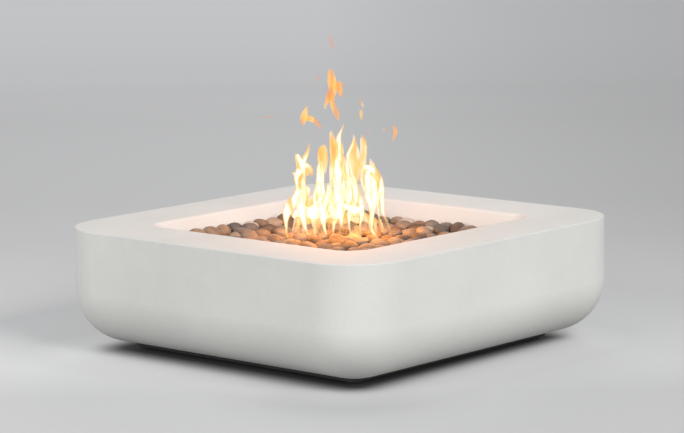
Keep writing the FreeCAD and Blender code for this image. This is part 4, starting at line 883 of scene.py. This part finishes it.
veils = (
    (26, (-112, 44, 3), (-104, 70, 12), (-84, 96, 17), (-62, 100, 17), (-30, 96, 18), (4, 98, 20),
     (30, 104, 16), (46, 120, 8)),
    (34, (-120, 34, 3), (-108, 52, 10), (-95, 76, 12), (-81, 48, 10), (-67, 78, 13), (-50, 48, 10),
     (-35, 76, 13), (-20, 46, 10), (-4, 76, 13), (12, 48, 10), (28, 78, 13), (44, 48, 10),
     (59, 74, 12), (74, 48, 9), (88, 60, 8), (100, 44, 3)),
    (-8, (-112, 236, 1.3), (-110, 224, 6.5), (-104, 200, 10.8), (-102, 161, 14.3)),
    (-6, (-74, 275, 0.4), (-77, 256, 2.4), (-84, 238, 5.6), (-91, 219, 8.2)),
    (-14, (-124, 185, 1.1), (-118, 179, 5.2), (-106, 170, 8.7)),
    (-18, (-72, 169, 0.7), (-73, 186, 4.3), (-82, 199, 8.7), (-86, 175, 7.4)),
    (-10, (-133, 135, 0.4), (-133, 120, 2.8), (-128, 107, 5.2), (-120, 92, 6.5)),
    (-6, (-128, 18, 0.9), (-121, 37, 3.5), (-116, 56, 5.6), (-113, 78, 6.5)),
    (-2, (-112, 22, 0.9), (-106, 42, 3.9), (-107, 62, 6.1)),
    (10, (-38, 257, 1.7), (-41, 249, 10), (-46, 229, 14.7), (-45, 210, 16), (-39, 190, 7.4),
     (-35, 175, 1.7)),
    (6, (-61, 14, 0.7), (-60, 34, 2.2), (-58, 51, 5.2)),
    (12, (-23, 296, 1.1), (-21, 283, 6.5), (-16, 261, 12.1), (-10, 231, 17.8), (-9, 196, 17.8),
     (-14, 165, 15.6), (-20, 144, 6.5)),
    (4, (10, 267, 0.9), (9, 251, 3.7), (4, 234, 8.7)),
    (16, (5, 243, 4.3), (9, 215, 6.5), (12, 184, 6.1), (19, 160, 6.1)),
    (32, (36, 290, 0.4), (38, 271, 5.2), (39, 245, 12.1), (38, 214, 14.7), (39, 184, 12.1),
     (47, 157, 5.2)),
    (28, (62, 283, 2.2), (63, 262, 9.1), (62, 236, 10.8), (59, 206, 12.1), (54, 180, 7.4)),
    (12, (80, 221, 0.9), (82, 208, 5.2), (86, 190, 11.7), (87, 164, 19.1), (89, 142, 20),
     (90, 116, 18.2), (93, 90, 13)),
    (16, (90, 212, 0.9), (88, 198, 4.8), (88, 181, 9.5)),
    (20, (49, 124, 3.5), (50, 104, 5.6), (54, 85, 5.2)),
    (24, (42, 46, 2.6), (43, 56, 6.9), (43, 71, 8.7)),
    (-4, (94, 12, 1.1), (92, 33, 4.8), (89, 53, 6.1)),
    (-8, (120, 19, 0.9), (109, 38, 3.9), (101, 58, 5.6)),
    (-16, (-29, 29, 1.3), (-30, 43, 5.6), (-31, 61, 7.8)),
    (14, (13, 58, 1.3), (16, 79, 4.8), (14, 104, 5.6)),
    (18, (68, 58, 0.9), (66, 80, 2.8), (63, 107, 3.5)),
)
# The first thin gas, orange between the legs of the flame.
low_gas = (
    (20, (-128, 20, 2), (-112, 36, 8), (-98, 52, 6)),
    (10, (-104, 14, 2), (-96, 32, 8), (-92, 54, 6)),
    (24, (-74, 12, 2), (-62, 30, 9), (-56, 52, 7)), (16, (-44, 16, 2), (-52, 34, 8), (-60, 54, 6)),
    (-6, (-30, 10, 2), (-26, 28, 9), (-30, 48, 7)), (14, (-2, 14, 2), (-6, 32, 9), (-4, 54, 7)),
    (24, (18, 12, 2), (16, 30, 8), (10, 52, 6)), (10, (40, 10, 2), (42, 28, 8), (38, 50, 6)),
    (20, (66, 14, 2), (62, 32, 8), (66, 52, 6)), (6, (86, 10, 2), (92, 30, 8), (88, 52, 6)),
    (12, (116, 16, 2), (106, 34, 7), (100, 54, 5)),
)
# Scraps of flame that have torn off above, and the faintest of them.
flamelets = (
    (0, (-94, 303, 0.8), (-92, 319, 8), (-87, 337, 8), (-83, 359, 0.8)),
    (4, (-90, 325, 6.4), (-72, 324, 6.8), (-57, 313, 6.4), (-47, 295, 1.2)),
    (6, (-1, 320, 1.6), (-7, 335, 7.6), (-14, 356, 5.2), (-21, 380, 8.4), (-13, 403, 10.4),
     (-18, 427, 11.2), (-19, 449, 4.8)),
    (10, (-38, 347, 1.2), (-32, 366, 6.8), (-22, 387, 8)),
    (-4, (7, 375, 1.6), (3, 395, 9.6), (-7, 416, 11.2)),
    (0, (58, 316, 1.2), (57, 332, 6.8), (58, 344, 1.6)),
    (0, (66, 347, 0.8), (60, 360, 4), (57, 374, 0.8)),
    (0, (137, 261, 0.8), (145, 277, 5.2), (145, 292, 5.2), (140, 301, 1.2)),
    (0, (113, 292, 0.8), (120, 292, 3.2), (127, 292, 0.8)),
)
sparks = (
    (0, (-10, 503, 1.2), (-18, 522, 7.2), (-21, 540, 2.4)),
    (0, (-54, 416, 0.8), (-52, 426, 6), (-52, 436, 1.2)),
    (0, (12, 403, 0.8), (16, 409, 3.6), (18, 417, 0.8)),
    (0, (-208, 329, 0.8), (-186, 329, 3.2), (-162, 328, 0.8)),
    (0, (75, 294, 0.8), (74, 282, 3.6), (72, 269, 0.8)),
    (0, (-65, 277, 0.4), (-63, 291, 1.6), (-63, 299, 2)),
)


def flame_body(name, lines, margin=0.0):
    """One skin round a group of streams, each thicker by a margin."""
    parts = []
    for depth, *line in lines:
        depth *= flame_spread
        curve = bpy.data.curves.new(name, "CURVE")
        curve.dimensions = "3D"
        curve.resolution_u = 6
        curve.bevel_depth = 1.0
        curve.bevel_resolution = 3
        curve.use_fill_caps = True
        spline = curve.splines.new("NURBS")
        spline.points.add(len(line) - 1)
        for point, (across, up, half) in zip(spline.points, line):
            point.co = (*from_view(across / 1000, depth / 1000, up / 1000), 1)
            point.radius = half / 1000 + margin
        spline.use_endpoint_u = True
        spline.order_u = 3
        part = bpy.data.objects.new(name, curve)
        put(part)
        only(part)
        bpy.ops.object.convert(target="MESH")
        middle = from_view(0, depth / 1000, 0)
        for vertex in part.data.vertices:
            off = (vertex.co - middle).dot(flat_back)
            vertex.co -= flat_back * off * (1 - flame_depth_share)
        parts.append(part)
    body = join_up(parts, name)
    modify(body, "REMESH", mode="VOXEL", voxel_size=flame_grain)
    modify(body, "SMOOTH", iterations=2)
    for vertex in body.data.vertices:
        height = vertex.co.z - flame_root
        wave = noise.noise_vector(Vector((vertex.co.x * waver_across, vertex.co.y * waver_across,
                                          height * waver_up)))
        vertex.co += wave * flame_waver * min(max(height, 0) / waver_full, 1)
    bpy.ops.object.shade_smooth()
    return body


def glow(piece, name, thickness, *stops):
    """Fills a flame with streaks of burning gas, which hide what is behind them."""
    gas = Finish(name, (0, 0, 0), 1)
    gas.tree.nodes.remove(gas.shader)
    gas.material.cycles.volume_step_rate = flame_step_rate
    streaks = gas.noise(streak_scale, streak_detail, stretch=(1, 1, streak_length_share),
                        twist=streak_twist)
    burn = gas.add("Emission", {"Color": gas.ramp(streaks, *stops), "Strength": 1 / thickness})
    soot = gas.add("VolumeAbsorption", {"Color": (0, 0, 0, 1), "Density": 1 / thickness})
    both = gas.add("AddShader", {0: burn.outputs[0], 1: soot.outputs[0]})
    gas.tree.links.new(both.outputs[0], gas.tree.nodes["Material Output"].inputs["Volume"])
    gas.cover(piece)
    piece.visible_diffuse = False
    piece.visible_glossy = False
    piece.visible_shadow = False


ember = (1.05, 0.34, 0.10)
orange = (1.12, 0.52, 0.11)
gold = (1.33, 0.80, 0.22)
cream = (2.0, 1.22, 0.80)
white = (3.0, 2.7, 2.3)
noise.seed_set(flame_seed)
glow(flame_body("flame_low", low_gas), "low_gas", 0.016,
     (0.38, ember), (0.56, gold), (0.70, cream))
glow(flame_body("flame_gold", hot_streams, gold_margin), "gold_gas", 0.010,
     (0.36, orange), (0.60, gold))
glow(flame_body("flame_veil", veils), "veil_gas", 0.008,
     (0.34, orange), (0.52, gold), (0.66, cream))
glow(flame_body("flame_core", hot_streams), "white_gas", 0.009,
     (0.30, gold), (0.42, cream), (0.52, white))
glow(flame_body("flamelets", flamelets, torn_margin), "torn_gas", 0.007,
     (0.36, ember), (0.48, orange), (0.62, gold))
glow(flame_body("sparks", sparks, torn_margin), "faint_gas", 0.014,
     (0.40, (0.85, 0.36, 0.22)), (0.60, ember))

# The light that the flames throw down on the stones, and on the recess and the rim.
fire_color = (1.0, 0.40, 0.05)
flame_color = (1.0, 0.25, 0.02)
near_color = (1.0, 0.32, 0.02)
fire_radius = 0.03
glow_radius = 0.07
cone_softness = 0.7
fire_lights = (
    # across, depth, up, power, colour, cone
    (-0.12, 0.04, 0.11, 0.55, fire_color, 150), (-0.07, 0.08, 0.11, 0.65, fire_color, 150),
    (-0.02, -0.04, 0.11, 0.85, fire_color, 150), (0.03, 0.09, 0.11, 0.80, fire_color, 150),
    (0.07, 0.05, 0.11, 0.80, fire_color, 150), (0.12, 0.05, 0.11, 0.90, fire_color, 150),
    (-0.05, 0.0, 0.34, 1.12, flame_color, None), (0.05, 0.0, 0.34, 1.12, flame_color, None),
    (0.0, -0.33, 0.12, 0.85, near_color, None))
for across, depth, up, power, color, cone in fire_lights:
    light = bpy.data.lights.new("fire_light", "SPOT" if cone else "POINT")
    light.energy = power
    light.color = color
    light.shadow_soft_size = fire_radius if cone else glow_radius
    if cone:
        light.spot_size = math.radians(cone)
        light.spot_blend = cone_softness
    lamp = bpy.data.objects.new("fire_light", light)
    lamp.location = from_view(across, depth, up)
    put(lamp)

# ------------------------------------------------------------ floor and light
# A pale studio floor, wide enough to have no edge in view, with soft light
# from all round and a little more from the right.
floor_size = 60
floor_tone = 0.745
floor_bounce = 0.29
# Painted shade under the body and a painted band of light round its outline: share of the floor's
# tone at a distance from under the body's outline.
painted_contact_shade_and_light = ((-0.14, 0.12), (-0.12, 0.36), (-0.10, 0.68), (-0.08, 1.00), (-0.06, 1.18),
                  (-0.04, 1.23), (0.0, 1.15), (0.05, 1.06), (0.10, 1.0))
contact_slant = (0.03, -0.02)   # how much sooner it ends, per metre to the right and the front
# Painted shade on the floor's colour round the near corner of the body.
near_corner = (0.46, -0.51, 0.0)
painted_corner_shade = ((0.0, 0.84), (0.12, 0.86), (0.24, 0.96), (0.36, 1.0))
# Painted light: the floor's colour falls off to the right, as the studio light does, and rises
# again far behind.
painted_side_light_falloff = ((-0.1, 1.0), (0.5, 0.91), (1.1, 0.84), (2.0, 0.77))
painted_depth_light_falloff = ((-1.0, 0.84), (-0.62, 0.84), (-0.3, 0.95), (0.2, 1.02), (0.9, 0.90), (1.7, 0.79),
               (2.5, 0.765), (4.9, 0.84), (6.5, 1.0), (8.7, 1.12), (11.0, 1.20))

bpy.ops.object.select_all(action="DESELECT")
bpy.ops.mesh.primitive_plane_add(size=floor_size, location=(0, 0, 0))
floor = bpy.context.object
floor.name = "floor"
paper = Finish("studio_floor", (floor_bounce, floor_bounce, floor_bounce), 0.9)
ray = paper.add("LightPath")


def reckon(operation, one, other=(0, 0, 0)):
    """The node that works out an operation on two places."""
    return paper.add("VectorMath", {0: one, 1: other}, operation=operation)


def along(direction):
    """How far a place on the floor is in a direction, in metres."""
    return reckon("DOT_PRODUCT", paper.place, direction).outputs["Value"]


def toned(value, shades, tone=1.0):
    """A grey along a value, from (value, share of the tone) pairs."""
    low, high = shades[0][0], shades[-1][0]
    share = paper.add("MapRange", {"Value": value, "From Min": low, "From Max": high})
    return paper.ramp(share.outputs["Result"],
                      *[((at - low) / (high - low), shade * tone) for at, shade in shades])


# Painted shade: the paper's colour darkens in the gap under the body, where the room's light is
# shut out, and is painted brighter in a band round the outline.
off_body = paper.place
for step, amount in (("ABSOLUTE", 0), ("SUBTRACT", half_body - body_corner), ("MAXIMUM", 0)):
    off_body = reckon(step, off_body, (amount,) * 3).outputs["Vector"]
slant = along(level_right * contact_slant[0] + back * contact_slant[1])
slant = paper.add("Math", {0: slant, 1: reckon("LENGTH", off_body).outputs["Value"]},
                  operation="ADD")
seen_tone_with_painted_light = toned(slant.outputs[0], [(distance + body_corner, shade)
                                     for distance, shade in painted_contact_shade_and_light], floor_tone)
# The painted corner shade and the painted fall-off of light to the right and far behind multiply
# the floor's colour.
off_corner = reckon("DISTANCE", paper.place, near_corner).outputs["Value"]
for shade in (toned(along(level_right), painted_side_light_falloff), toned(off_corner, painted_corner_shade),
              toned(along((-back.x, -back.y, 0)), painted_depth_light_falloff)):
    seen_tone_with_painted_light = paper.mix(1.0, seen_tone_with_painted_light, shade, "MULTIPLY")
# Only what looks at the floor sees these tones; the light that it throws back is even.
seen = ray.outputs["Is Camera Ray"]
for kind in ("Is Glossy Ray", "Is Transmission Ray"):
    seen = paper.add("Math", {0: seen, 1: ray.outputs[kind]}, operation="MAXIMUM").outputs[0]
paper.color(paper.mix(seen, (floor_bounce,) * 3, seen_tone_with_painted_light))
paper.cover(floor)

lamp_aim = Vector((0, 0, 0.2))
lamp_size = 3.0
world = bpy.context.scene.world or bpy.data.worlds.new("world")
bpy.context.scene.world = world
world.use_nodes = True
sky = world.node_tree.nodes["Background"]
sky.inputs["Color"].default_value = (0.97, 0.98, 1.0, 1)
sky.inputs["Strength"].default_value = 0.48


def soft_lamp(name, place, power):
    """A square soft box that lights near and far alike."""
    light = bpy.data.lights.new(name, "AREA")
    light.shape = "SQUARE"
    light.size = lamp_size
    light.energy = power
    light.use_nodes = True
    throw = lamp_aim - Vector(place)
    even = light.node_tree.nodes.new("ShaderNodeLightFalloff")
    even.inputs["Strength"].default_value = 1 / throw.length_squared
    light.node_tree.links.new(even.outputs["Constant"],
                              light.node_tree.nodes["Emission"].inputs["Strength"])
    lamp = bpy.data.objects.new(name, light)
    lamp.location = place
    lamp.rotation_euler = throw.to_track_quat("-Z", "Y").to_euler()
    put(lamp)


soft_lamp("key_light", (4.7, -0.6, 2.5), 196)
soft_lamp("front_light", (-0.6, -4.9, 1.7), 122)
soft_lamp("rear_light", (-3.6, 4.4, 1.6), 50)

view = bpy.context.scene.view_settings
view.view_transform = "Standard"
